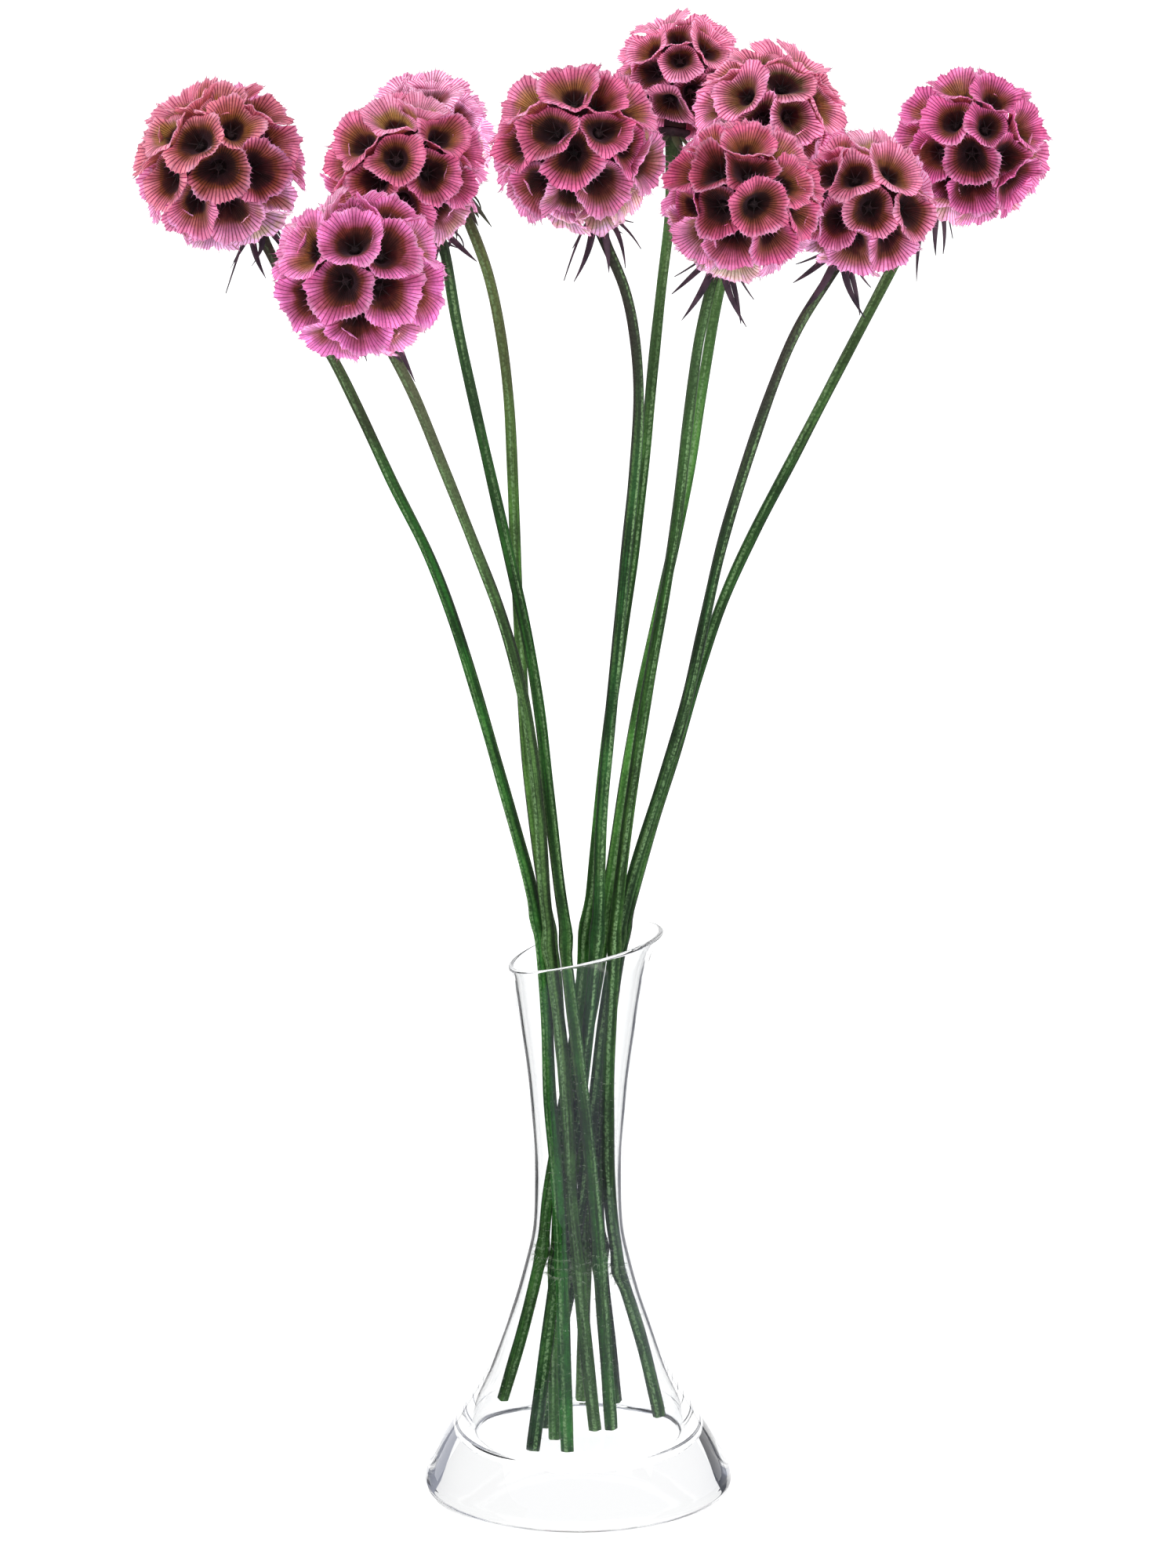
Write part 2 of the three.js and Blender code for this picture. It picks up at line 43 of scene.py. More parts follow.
# one row for each flower, in millimetres: where its head is, how wide, the way the crown faces, a turn about
# it, how many papery cups it has, laid out by a seed, and how long its bracts are. Then come its own tints,
# how pale its low cups are (below zero, how much darker they are), how strongly a painted backlight pales the
# thin rims of cups seen side-on, how wide the ribs, how far in the rims' pink reaches, how much painted glow
# they have, and how violet the low cups are
flowers = [
    {"head": (-98, 5, 382), "diameter": 47, "crown": (-0.42, -0.34, 0.84), "turn": 128,
     "cups": 36, "seed": 70, "bracts": 10, "pink": "#e27c90", "inside": "#9a5630", "stem": "#3a7d3a",
     "neck": "#62504c", "pale": 0.25, "thin": 0.4, "rib": 0.52, "open": 0, "glow": 0, "violet": 0.28},
    {"head": (-42, 22, 387), "diameter": 38, "crown": (-0.46, 0.1, 0.88), "turn": 124,
     "cups": 29, "seed": 152, "bracts": 12.5, "pink": "#ffaed0", "inside": "#b06a4a", "stem": "#6c9652",
     "neck": "#767a52", "pale": 0.2, "thin": 0.35, "rib": 0.66, "open": 0.14, "glow": 0.22, "violet": 0.1},
    {"head": (-47, -22, 383), "diameter": 43.5, "crown": (-0.4, -0.34, 0.85), "turn": 16,
     "cups": 35, "seed": 32, "bracts": 12, "pink": "#e46e96", "inside": "#985a3a", "stem": "#3a6c34",
     "neck": "#40603c", "pale": 0.3, "thin": 0.7, "rib": 0.42, "open": 0, "glow": 0, "violet": 0.15},
    {"head": (-58, -60, 360.5), "diameter": 46, "crown": (-0.22, -0.66, 0.72), "turn": 352,
     "cups": 31, "seed": 210, "bracts": 13, "pink": "#ee76b8", "inside": "#8a4038", "stem": "#5f8052",
     "neck": "#74785c", "pale": 0.2, "thin": 0.8, "rib": 0.34, "open": 0.02, "glow": 0.04, "violet": 0.1},
    {"head": (0, -45, 392.5), "diameter": 46, "crown": (-0.26, -0.28, 0.92), "turn": 352,
     "cups": 35, "seed": 27, "bracts": 13, "pink": "#e06692", "inside": "#8f5038", "stem": "#35653a",
     "neck": "#463f3c", "pale": 0.25, "thin": 0.5, "rib": 0.46, "open": 0, "glow": 0, "violet": 0.15},
    {"head": (29, 54, 401), "diameter": 36.5, "crown": (0.12, 0.2, 0.97), "turn": 156,
     "cups": 28, "seed": 109, "bracts": 12, "pink": "#f48cac", "inside": "#8a5a34", "stem": "#4c7f42",
     "neck": "#587a48", "pale": -0.55, "thin": 0.3, "rib": 0.68, "open": 0.07, "glow": 0.18, "violet": 0.1},
    {"head": (53, 22, 393), "diameter": 42, "crown": (0.3, 0.1, 0.95), "turn": 52,
     "cups": 30, "seed": 138, "bracts": 13, "pink": "#f28caa", "inside": "#7a7a4a", "stem": "#66a054",
     "neck": "#5f8a4c", "pale": 0.25, "thin": 0.2, "rib": 0.66, "open": 0.06, "glow": 0.16, "violet": 0.15},
    {"head": (44, -32, 377), "diameter": 43.5, "crown": (0.27, -0.42, 0.87), "turn": 316,
     "cups": 40, "seed": 150, "bracts": 15.5, "pink": "#da6088", "inside": "#843438", "stem": "#416a36",
     "neck": "#4c6c40", "pale": 0.3, "thin": 0.45, "rib": 0.48, "open": 0, "glow": 0, "violet": 0.2},
    {"head": (78, -3, 372), "diameter": 40.5, "crown": (0.3, -0.5, 0.81), "turn": 68,
     "cups": 27, "seed": 150, "bracts": 14, "pink": "#f886ae", "inside": "#8e4c36", "stem": "#3f6340",
     "neck": "#544a4a", "pale": 0.25, "thin": 0.85, "rib": 0.48, "open": 0.01, "glow": 0.03, "violet": 0.2},
    {"head": (109, 25, 384.5), "diameter": 43.5, "crown": (0.46, -0.5, 0.72), "turn": 324,
     "cups": 36, "seed": 201, "bracts": 17, "pink": "#e468a4", "inside": "#883e3c", "stem": "#43703e",
     "neck": "#54703f", "pale": 0.2, "thin": 0.45, "rib": 0.56, "open": 0.03, "glow": 0.06, "violet": 0.1},
]
numbered = [(f"{i:02d}", flower) for i, flower in enumerate(flowers, 1)]


def colour(text):
    # a web colour as the linear values that sockets take
    values = [int(text[i:i + 2], 16) / 255 for i in (1, 3, 5)]
    return (*[v / 12.92 if v < 0.04045 else ((v + 0.055) / 1.055) ** 2.4 for v in values], 1)


def tinted(*shares):
    # a sum of colours, each times its own number
    return (*[min(1, sum(share * shade[i] for shade, share in shares)) for i in range(3)], 1)


def chance(seed, k):
    # a number from 0 to 1 that is always the same for a seed and a place
    return (np.sin(seed * 78.233 + k * 12.9898) * 43758.5453) % 1


def unit(vector):
    return np.asarray(vector, float) / np.linalg.norm(vector)


def crossAxes(axis, hint):
    across = unit(hint - axis * np.dot(hint, axis))
    return across, np.cross(axis, across)


def deselect():
    if bpy.context.object and bpy.context.object.mode != "OBJECT":
        bpy.ops.object.mode_set(mode="OBJECT")
    bpy.ops.object.select_all(action="DESELECT")


def applyPlace():
    bpy.ops.object.transform_apply(location=True, rotation=True, scale=True)


def startEdit():
    bpy.ops.object.mode_set(mode="EDIT")
    bpy.ops.mesh.select_all(action="SELECT")


def endEdit():
    bpy.ops.mesh.select_all(action="SELECT")
    bpy.ops.mesh.normals_make_consistent(inside=False)
    bpy.ops.object.mode_set(mode="OBJECT")


def applyModifier(piece, kind, **values):
    deselect()
    bpy.context.view_layer.objects.active = piece
    piece.select_set(True)
    modifier = piece.modifiers.new(kind.title(), kind)
    for name, value in values.items():
        setattr(modifier, name, value)
    bpy.ops.object.modifier_apply(modifier=modifier.name)


def joined(name, pieces):
    deselect()
    for piece in pieces:
        piece.select_set(True)
    bpy.context.view_layer.objects.active = pieces[0]
    bpy.ops.object.join()
    pieces[0].name = pieces[0].data.name = name
    return pieces[0]


def placesOf(piece):
    places = np.empty(len(piece.data.vertices) * 3)
    piece.data.vertices.foreach_get("co", places)
    return places.reshape(-1, 3)


# copies of one modelled pattern in a single mesh: copied holds the vertices of each copy, and marks a value
# for each of them, which the materials read
def stamp(name, pattern, copied, marks=None):
    copies, size = copied.shape[:2]
    source = pattern.data
    corners = np.empty(len(source.loops), int)
    source.loops.foreach_get("vertex_index", corners)
    starts = np.empty(len(source.polygons), int)
    source.polygons.foreach_get("loop_start", starts)
    mesh = bpy.data.meshes.new(name)
    mesh.vertices.add(copies * size)
    mesh.loops.add(copies * len(corners))
    mesh.polygons.add(copies * len(starts))
    mesh.vertices.foreach_set("co", copied.ravel())
    steps = np.arange(copies)[:, None]
    mesh.loops.foreach_set("vertex_index", (corners + steps * size).ravel())
    mesh.polygons.foreach_set("loop_start", (starts + steps * len(corners)).ravel())
    mesh.polygons.foreach_set("use_smooth", np.ones(copies * len(starts), bool))
    if "along" in source.uv_layers:
        flat = np.empty(len(corners) * 2)
        source.uv_layers["along"].data.foreach_get("uv", flat)
        mesh.uv_layers.new(name="along").data.foreach_set("uv", np.tile(flat, copies))
    for mark, values in (marks or {}).items():
        spread = np.broadcast_to(values, (copies, size)).ravel()
        mesh.attributes.new(mark, "FLOAT", "POINT").data.foreach_set("value", spread)
    mesh.update(calc_edges=True)
    mesh.validate()
    piece = bpy.data.objects.new(name, mesh)
    bpy.context.collection.objects.link(piece)
    return piece


# hairs, for the stems and for the fringes of the cups

def modelHair():
    deselect()
    bpy.ops.mesh.primitive_cone_add(
        vertices=3, radius1=1, depth=1, end_fill_type="NOTHING", location=(0, 0, 0.5), calc_uvs=False
    )
    hair = bpy.context.object
    applyPlace()
    return hair


def drawHairs(roots, ways, lengths, thickness):
    flat = placesOf(hair)
    copies = []
    for root, way, length in zip(roots, ways, lengths):
        u, v = crossAxes(way, np.array((0.3, 0.5, 0.8)))
        section = np.outer(flat[:, 0], u) * thickness + np.outer(flat[:, 1], v) * thickness
        copies.append(root + section + np.outer(flat[:, 2], way) * length)
    return stamp("hairs", hair, np.array(copies))


hair = modelHair()


# node trees

def newMaterial(name):
    material = bpy.data.materials.new(name)
    material.use_nodes = True
    tree = material.node_tree
    return material, tree, tree.nodes["Principled BSDF"]


def setSockets(shader, values):
    for name, value in values.items():
        shader.inputs[name].default_value = value


def fillInputs(tree, node, inputs):
    for key, value in inputs.items():
        if isinstance(value, bpy.types.NodeSocket):
            tree.links.new(value, node.inputs[key])
        else:
            node.inputs[key].default_value = value


def addNode(tree, kind, inputs=None, **settings):
    node = tree.nodes.new(kind)
    for name, value in settings.items():
        setattr(node, name, value)
    fillInputs(tree, node, inputs or {})
    return node


def useGroup(tree, group, **values):
    node = addNode(tree, "ShaderNodeGroup", node_tree=group)
    fillInputs(tree, node, values)
    return node.outputs


def worked(tree, operation, *values):
    inputs = dict(enumerate(values))
    return addNode(tree, "ShaderNodeMath", inputs, operation=operation).outputs[0]


def times(tree, first, second):
    return worked(tree, "MULTIPLY", first, second)


def triple(tree, *values):
    return addNode(tree, "ShaderNodeCombineXYZ", dict(enumerate(values))).outputs[0]


def attribute(tree, name):
    return addNode(tree, "ShaderNodeAttribute", attribute_name=name).outputs["Fac"]


def noise(tree, place, scale, detail):
    inputs = {"Vector": place, "Scale": scale, "Detail": detail}
    return addNode(tree, "ShaderNodeTexNoise", inputs).outputs[0]


def blended(tree, share, first, second, kind="MIX"):
    inputs = {0: share, 6: first, 7: second}
    return addNode(tree, "ShaderNodeMix", inputs, data_type="RGBA", blend_type=kind).outputs[2]


def between(tree, value, low, high, toLow=0.0, toHigh=1.0):
    inputs = {0: value, 1: low, 2: high, 3: toLow, 4: toHigh}
    return addNode(tree, "ShaderNodeMapRange", inputs, interpolation_type="SMOOTHSTEP").outputs[0]


def ramp(tree, value, stops):
    node = addNode(tree, "ShaderNodeValToRGB", {0: value})
    while len(node.color_ramp.elements) < len(stops):
        node.color_ramp.elements.new(0.5)
    for element, (place, shade) in zip(node.color_ramp.elements, stops):
        element.position = place
        element.color = shade
    return node.outputs[0]


def bumped(tree, shader, height, strength, distance):
    bump = addNode(tree, "ShaderNodeBump", {"Height": height, "Strength": strength, "Distance": distance})
    tree.links.new(bump.outputs[0], shader.inputs["Normal"])


def newGroup(name, inputs, outputs):
    group = bpy.data.node_groups.new(name, "ShaderNodeTree")
    for direction, sockets in (("INPUT", inputs), ("OUTPUT", outputs)):
        for title, (kind, value) in sockets.items():
            socket = group.interface.new_socket(title, in_out=direction, socket_type="NodeSocket" + kind)
            if value is not None:
                socket.default_value = value
    return group, group.nodes.new("NodeGroupInput"), group.nodes.new("NodeGroupOutput")


# lines that run along a surface, evenly spread round it: 1 on a line and 0 between two
def ribGroup():
    inputs = {"Around": ("Float", 0.0), "Count": ("Float", 30.0), "Width": ("Float", 0.3)}
    group, given, result = newGroup("ribs", inputs, {"Line": ("Float", None)})
    turns = times(group, given.outputs["Around"], given.outputs["Count"])
    saw = worked(group, "PINGPONG", turns, 0.5)  # 0 on a line, half way at 0.5
    width = times(group, given.outputs["Width"], 0.5)
    line = between(group, saw, 0.0, width, 1.0, 0.0)
    group.links.new(line, result.inputs["Line"])
    return group


# soft blotches and a fine grain, both from 0 to 1
def mottleGroup():
    inputs = {"Place": ("Vector", None), "Blotch": ("Float", 60.0), "Grain": ("Float", 900.0)}
    outputs = {"Blotches": ("Float", None), "Grains": ("Float", None)}
    group, given, result = newGroup("mottle", inputs, outputs)
    for title, source, detail in (("Blotches", "Blotch", 2.0), ("Grains", "Grain", 3.0)):
        cloud = noise(group, given.outputs["Place"], given.outputs[source], detail)
        group.links.new(between(group, cloud, 0.3, 0.7), result.inputs[title])
    return group


ribs = ribGroup()
mottle = mottleGroup()


def mottled(tree, blotch, grain):
    place = addNode(tree, "ShaderNodeTexCoord").outputs["Object"]
    marks = useGroup(tree, mottle, Place=place, Blotch=blotch, Grain=grain)
    return marks["Blotches"], marks["Grains"]


def plainSkin(name, dark, light, blotch=200.0):
    material, tree, shader = newMaterial(name)
    blotches, grains = mottled(tree, blotch, 2500.0)
    base = blended(tree, blotches, colour(dark), colour(light))
    tree.links.new(base, shader.inputs["Base Color"])
    setSockets(shader, {"Roughness": 0.7})
    bumped(tree, shader, grains, 0.4, 0.0001)
    return material


# camera and studio

viewer = {"place": (0.0028, -1.782, 0.6), "tilt": 12.38, "lens": 149.724, "sensor": 36}
studio = {
    "grey": (0.35, 0.35, 0.35, 1), "floorSize": 8,
    "under": -0.0003, "clothUnder": -0.0001,  # the vase stands just above the cloths and the floor
    # how bright the floor and the room look, and how much of that they throw on the flowers
    "floorGlow": 1.08, "floorLight": 0.5, "roomGlow": 1.05, "roomLight": 0.65,
    "bounces": 100,
}
lamps = {  # place, size and power, aimed at one spot
    "keyLight": ((-1.1, -1.5, 1.7), 1.2, 15),
    "fillLight": ((1.4, -1.2, 0.9), 1.4, 4),
}
lampAim = (0, 0, 0.3)
# dark cloths that only the glass sees: two on the floor behind it draw its edges, and those at its sides and
# in front keep its own reflections off the stems. A row gives a cloth's place before its turn about the vase,
# its tilt and its turn, its width and depth, and how light it is
cloths = {
    "clothLeft": ((-0.642, 1.17, studio["clothUnder"]), 0, 24, (1.2, 2.4), 0.02),
    "clothRight": ((0.648, 1.17, studio["clothUnder"]), 0, -24, (1.2, 2.4), 0.14),
    "clothSideLeft": ((-0.1, 0.35, 0.12), 90, 90, (0.7, 0.25), 0.02),
    "clothSideRight": ((0.1, 0.35, 0.12), 90, -90, (0.7, 0.25), 0.42),
    "clothLow": ((0, -1.6, studio["clothUnder"]), 0, 0, (5, 3), 0.45),
    "clothFront": ((0, -2.6, 1.5), 90, 0, (14, 6), 0.45),
}
edgeCloths = ("clothLeft", "clothRight")


def setUpCamera():
    tilt = math.radians(90 - viewer["tilt"])
    bpy.ops.object.camera_add(location=viewer["place"], rotation=(tilt, 0, 0))
    camera = bpy.context.object
    camera.data.sensor_width = viewer["sensor"]
    camera.data.lens = viewer["lens"]
    bpy.context.scene.camera = camera


def layFloor():
    deselect()
    bpy.ops.mesh.primitive_plane_add(size=studio["floorSize"], location=(0, 1, studio["under"]))
    floor = bpy.context.object
    floor.name = "floor"
    material, tree, shader = newMaterial("paintedFloor")
    setSockets(shader, {"Base Color": studio["grey"], "Roughness": 0.9, "Emission Color": white})
    # bright under the glass, but throwing little light up at the flowers
    bounced = addNode(tree, "ShaderNodeLightPath").outputs["Is Diffuse Ray"]
    strength = between(tree, bounced, 0.0, 1.0, studio["floorGlow"], studio["floorLight"])
    tree.links.new(strength, shader.inputs["Emission Strength"])
    floor.data.materials.append(material)


def hangCloth(name, place, tilt, turn, extent, shade):
    turn = math.radians(turn)
    place = Quaternion((0, 0, 1), turn) @ Vector(place)
    bpy.ops.mesh.primitive_plane_add(size=1, location=place, rotation=(math.radians(tilt), 0, turn))
    cloth = bpy.context.object
    cloth.name = name
    cloth.scale = (*extent, 1)
    material, tree, shader = newMaterial(name)
    setSockets(shader, {"Base Color": (shade, 1.05 * shade, 1.25 * shade, 1), "Roughness": 1,
                        "Specular IOR Level": 0, "Emission Color": white})
    # what the stems see through the glass is the white room, and so is what is seen straight through it,
    # except at its edges
    path = addNode(tree, "ShaderNodeLightPath")
    bright = between(tree, path.outputs["Diffuse Depth"], 0.0, 1.0)
    if name not in edgeCloths:
        straight = between(tree, path.outputs["Glossy Depth"], 0.0, 1.0, 1.0, 0.0)
        bright = worked(tree, "MAXIMUM", bright, straight)
    tree.links.new(bright, shader.inputs["Emission Strength"])
    cloth.data.materials.append(material)
    cloth.visible_camera = cloth.visible_diffuse = cloth.visible_shadow = False


def lightRoom():
    world = bpy.data.worlds.new("room")
    bpy.context.scene.world = world
    world.use_nodes = True
    tree = world.node_tree
    background = tree.nodes["Background"]
    background.inputs["Color"].default_value = white
    bounced = addNode(tree, "ShaderNodeLightPath").outputs["Is Diffuse Ray"]
    strength = between(tree, bounced, 0.0, 1.0, studio["roomGlow"], studio["roomLight"])
    tree.links.new(strength, background.inputs["Strength"])
    for name, (place, size, power) in lamps.items():
        bpy.ops.object.light_add(type="AREA", location=place)
        light = bpy.context.object
        light.name = name
        light.data.size = size
        light.data.energy = power
        light.visible_glossy = light.visible_transmission = False
        light.rotation_euler = (Vector(lampAim) - Vector(place)).to_track_quat("-Z", "Y").to_euler()
    bpy.context.scene.view_settings.view_transform = "Standard"
    # the thick glass passes light on many times
    light = bpy.context.scene.cycles
    light.max_bounces = light.glossy_bounces = light.transmission_bounces = studio["bounces"]


setUpCamera()
layFloor()
for name, row in cloths.items():
    hangCloth(name, *row)
lightRoom()
print("camera and studio ready")

# the vase

vase = {
    # height and radius of the glass outside and inside, up to the lip, in millimetres
    "outside": [(0, 37), (0.6, 39.4), (2.5, 42.4), (5, 43.8), (8.9, 43.3), (15.9, 39.7), (25.3, 34),
                (37, 27.1), (48.7, 22.5), (60.3, 18.6), (72, 15.4), (80, 13.7), (90, 13.05), (98, 13.1),
                (108.9, 13.5), (122.7, 14.7), (138, 16.7), (152, 18.7), (156, 19.6), (161, 21.2),
                (166.5, 24.1)],
    "inside": [(166.5, 22.6), (161, 19.7), (156, 18.1), (152, 17.2), (138, 15.2), (122.7, 13.2),
               (108.9, 12.1), (98, 11.5), (90, 11.5), (80, 12.1), (72, 13.7), (60.3, 16.8), (48.7, 20.7),
               (37, 25), (28, 29.4), (22, 31.6), (18, 31.3), (15.5, 29), (14.6, 24), (14.5, 14)],
    "slantFrom": 138, "rimHeight": 161.3, "slant": 13.5,
    "lipRise": 0.9, "lipPoints": 9,
    "spacing": 2, "turns": 144,
    "tint": (0.985, 0.99, 0.99, 1), "wave": 0.04,
}


def smoothLine(points, spacing):
    # a Catmull-Rom line through the points, as evenly spaced as whole steps allow
    points = np.asarray(points, float)
    ends = np.vstack([2 * points[0] - points[1], points, 2 * points[-1] - points[-2]])
    line = [points[0]]
    for a, b, c, d in zip(ends, ends[1:], ends[2:], ends[3:]):
        steps = max(1, round(np.linalg.norm(c - b) / spacing))
        for t in np.arange(1, steps + 1) / steps:
            line.append(0.5 * (2 * b + (c - a) * t + (2 * a - 5 * b + 4 * c - d) * t * t
                               + (3 * b - a - 3 * c + d) * t ** 3))
    return np.array(line)


def modelVase():
    outside = smoothLine(vase["outside"], vase["spacing"])
    inside = smoothLine(vase["inside"], vase["spacing"])
    rim = vase["rimHeight"]
    walls = [line[line[:, 0] <= rim] for line in (outside, inside)]
    lip = np.interp(rim, outside[:, 0], outside[:, 1])
    inLip = np.interp(rim, inside[::-1, 0], inside[::-1, 1])
    middle, half = (lip + inLip) / 2, (lip - inLip) / 2
    rounded = [(rim + vase["lipRise"] * half * math.sin(a), middle + half * math.cos(a))
               for a in np.linspace(0, math.pi, vase["lipPoints"])]
    profile = np.vstack([[(0, 0)], walls[0], rounded, walls[1], [(vase["inside"][-1][0], 0)]])
    # the section is drawn point by point and turned once round the axis
    deselect()
    bpy.ops.mesh.primitive_plane_add(size=mm)
    glass = bpy.context.object
    startEdit()
    bpy.ops.mesh.merge(type="CENTER")
    for (z0, r0), (z1, r1) in zip(profile, profile[1:]):
        bpy.ops.mesh.extrude_vertices_move(
            TRANSFORM_OT_translate={"value": ((r1 - r0) * mm, 0, (z1 - z0) * mm)}
        )
    bpy.ops.mesh.select_all(action="SELECT")
    bpy.ops.mesh.spin(steps=vase["turns"], angle=2 * math.pi, center=(0, 0, 0), axis=(0, 0, 1))
    bpy.ops.mesh.select_all(action="SELECT")
    bpy.ops.mesh.remove_doubles(threshold=2e-6)
    endEdit()
    # above the neck the mouth slants up to one side, and the wall flares with its own height
    places = placesOf(glass) / mm
    turn = np.arctan2(places[:, 1], places[:, 0])
    radius = np.hypot(places[:, 0], places[:, 1])
    share = np.clip((places[:, 2] - vase["slantFrom"]) / (rim - vase["slantFrom"]), 0, 1)
    raised = places[:, 2] + share * math.tan(math.radians(vase["slant"])) * lip * np.cos(turn)
    flare = [np.interp(z, outside[:, 0], outside[:, 1]) for z in (raised, places[:, 2])]
    radius = np.where(share > 0, radius + flare[0] - flare[1], radius)
    shaped = np.stack([radius * np.cos(turn), radius * np.sin(turn), raised], 1) * mm
    glass.data.vertices.foreach_set("co", shaped.ravel())
    glass.data.polygons.foreach_set("use_smooth", np.ones(len(glass.data.polygons), bool))
    glass.data.update()
    glass.name = glass.data.name = "vaseGlass"
    return glass


def clearGlass():
    material, tree, shader = newMaterial("clearGlass")
    blotches, grains = mottled(tree, 26.0, 180.0)
    setSockets(shader, {"Base Color": vase["tint"], "Transmission Weight": 1, "IOR": 1.5})
    bumped(tree, shader, blotches, vase["wave"], 0.002)
    tree.links.new(between(tree, grains, 0.0, 1.0, 0.0, 0.02), shader.inputs["Roughness"])
    return material


glass = modelVase()
glass.data.materials.append(clearGlass())
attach(glass, "root")
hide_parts("vase")
print("vase blown")

# seed heads

globe = {
    "goldenAngle": 137.508, "lastCup": 146, "wander": 0.42, "neighbourhood": 69,
    # shares of the head's radius
    "ripple": 0.02, "rim": 0.985, "rimScatter": 0.01, "floor": 0.6, "base": 0.8, "core": 0.585,
    "neckTop": 0.45, "neck": 3.2,  # the neck's radius is in millimetres
}
cup = {
    "ribs": 46,
    # places of the rings from the rim to the floor, as shares of the flat round that a cup is drawn out from
    "rings": [1, 0.94, 0.84, 0.73, 0.61, 0.49, 0.38, 0.3],
    "floorEdge": 0.3,
    "throat": 0.4, "mouth": 1.15,  # how far towards the neighbours the floor and the rim reach
    "flare": 1.05, "rise": 1.1, "drawnIn": 0.3,
    # of two rims that meet one is longer, mostly that of the cup nearer the crown
    "overlap": 0.12, "overlapScatter": 0.25, "tiled": 0.85, "tuck": 0.09, "evenness": 0.45,
    "pleat": 0.005, "tooth": 0.003, "frill": 0.011, "lobes": 0.035, "swell": 0.01, "lip": 0.025, "oval": 0.5,
    "waist": 0.02,
    # how deep each wave round a rim is, and how often it comes
    "frillWaves": ((1, 5), (1.3, 11), (1, 16)), "lobeWaves": ((1, 3), (1, 5), (0.7, 9)),
    "thickness": 0.16,  # in millimetres
    "roundness": 6,
}
# the fine points that the ribs run out into, in millimetres. The rims that lie under others have none
fringe = {"lengths": (0.5, 1.7), "thick": 0.085, "outward": 0.7, "stray": 0.25, "from": 0.3}
# the seed's blunt tip in the middle of a cup, with its stiff bristles, in shares of the head's radius
heart = {"radius": 0.05, "height": 0.61, "stretch": 1.2, "bristles": 5, "lean": 50, "root": 0.655,
         "length": 0.15, "thick": 0.011, "fine": 0.002}


def modelCup():
    deselect()
    bpy.ops.mesh.primitive_circle_add(vertices=2 * cup["ribs"], radius=1, calc_uvs=False)
    pattern = bpy.context.object
    startEdit()
    for outer, inner in zip(cup["rings"], cup["rings"][1:]):
        bpy.ops.mesh.extrude_edges_move()
        bpy.ops.transform.resize(value=(inner / outer,) * 3, center_override=(0, 0, 0))
    bpy.ops.mesh.extrude_edges_move()
    bpy.ops.mesh.merge(type="CENTER")
    endEdit()
    mesh = pattern.data
    if mesh.polygons[0].normal.z < 0:
        mesh.flip_normals()
    # the map runs round the cup and out to its rim
    places = placesOf(pattern)
    around = np.arctan2(places[:, 1], places[:, 0]) / (2 * math.pi) % 1
    out = np.hypot(places[:, 0], places[:, 1])
    layer = mesh.uv_layers.new(name="along")
    for face in mesh.polygons:
        at = np.array([around[v] for v in face.vertices])
        rimmed = np.array([out[v] for v in face.vertices])
        if at[rimmed > 0.01].ptp() > 0.5:
            at[at < 0.5] += 1
        at[rimmed < 0.01] = at[rimmed > 0.01].mean()
        for corner, u, v in zip(face.loop_indices, at, rimmed):
            layer.data[corner].uv = (u, v)
    return pattern


def modelHeart():
    deselect()
    bpy.ops.mesh.primitive_uv_sphere_add(
        segments=8, ring_count=5, radius=heart["radius"], location=(0, 0, heart["height"])
    )
    tip = bpy.context.object
    tip.scale.z = heart["stretch"]
    applyPlace()
    bristles = []
    for k in range(heart["bristles"]):
        turn = Quaternion((0, 0, 1), k * math.tau / heart["bristles"])
        lean = turn @ Quaternion((0, 1, 0), math.radians(heart["lean"]))
        middle = Vector((0, 0, heart["root"])) + lean @ Vector((0, 0, heart["length"] / 2))
        bpy.ops.mesh.primitive_cone_add(
            vertices=3, radius1=heart["thick"], radius2=heart["fine"], depth=heart["length"],
            location=middle, rotation=lean.to_euler(),
        )
        bristles.append(bpy.context.object)
        applyPlace()
    return joined("heartPattern", [tip, *bristles])


def cupDirections(flower):
    count, seed = flower["cups"], flower["seed"]
    k = np.arange(count)
    reach = 1 - math.cos(math.radians(globe["lastCup"]))
    wander = globe["wander"] * math.sqrt(4 * math.pi / count)
    polar = np.arccos(1 - reach * (k + 0.5) / count)
    turn = k * math.radians(globe["goldenAngle"])
    turn = turn + (chance(seed, k + 100) - 0.5) * wander / np.maximum(np.sin(polar), 0.3)
    polar = polar + (chance(seed, k) - 0.5) * wander
    return np.stack([np.sin(polar) * np.sin(turn), np.cos(polar), np.sin(polar) * np.cos(turn)], 1)


def headTurn(flower):
    crown = Vector(flower["crown"]).normalized()
    turn = Vector((0, 1, 0)).rotation_difference(crown)
    turn = turn @ Quaternion((0, 1, 0), math.radians(flower["turn"]))
    return np.array(turn.to_matrix())


def roomFor(k, centre, outward, others, seed):
    # how far the cup can reach each way before it meets its neighbours, and 1 where its rim lies on theirs or
    # 0 where it lies under them
    closest = math.cos(math.radians(globe["neighbourhood"]))
    near = np.array([i for i, other in enumerate(others) if i != k and np.dot(other, centre) > closest])
    apart = centre - others[near]
    with np.errstate(divide="ignore"):
        slope = -(apart @ centre)[:, None] / (apart @ outward.T)
    pull = np.where(slope > 0, np.arctan(slope), 9) ** -cup["roundness"]
    reach = pull.sum(0) ** (-1 / cup["roundness"])
    pairs = np.minimum(k, near) * 60 + np.maximum(k, near)
    longer = np.where(chance(seed, pairs) < cup["tiled"], 1, -1) * np.where(near > k, 1, -1)
    upper = (((longer[:, None] * pull).sum(0) / pull.sum(0) + 0.6) / 1.4).clip(0, 1)
    return reach, upper


def waves(angle, phases, rows):
    return sum(depth * np.sin(often * angle + phase) for (depth, often), phase in zip(rows, phases))


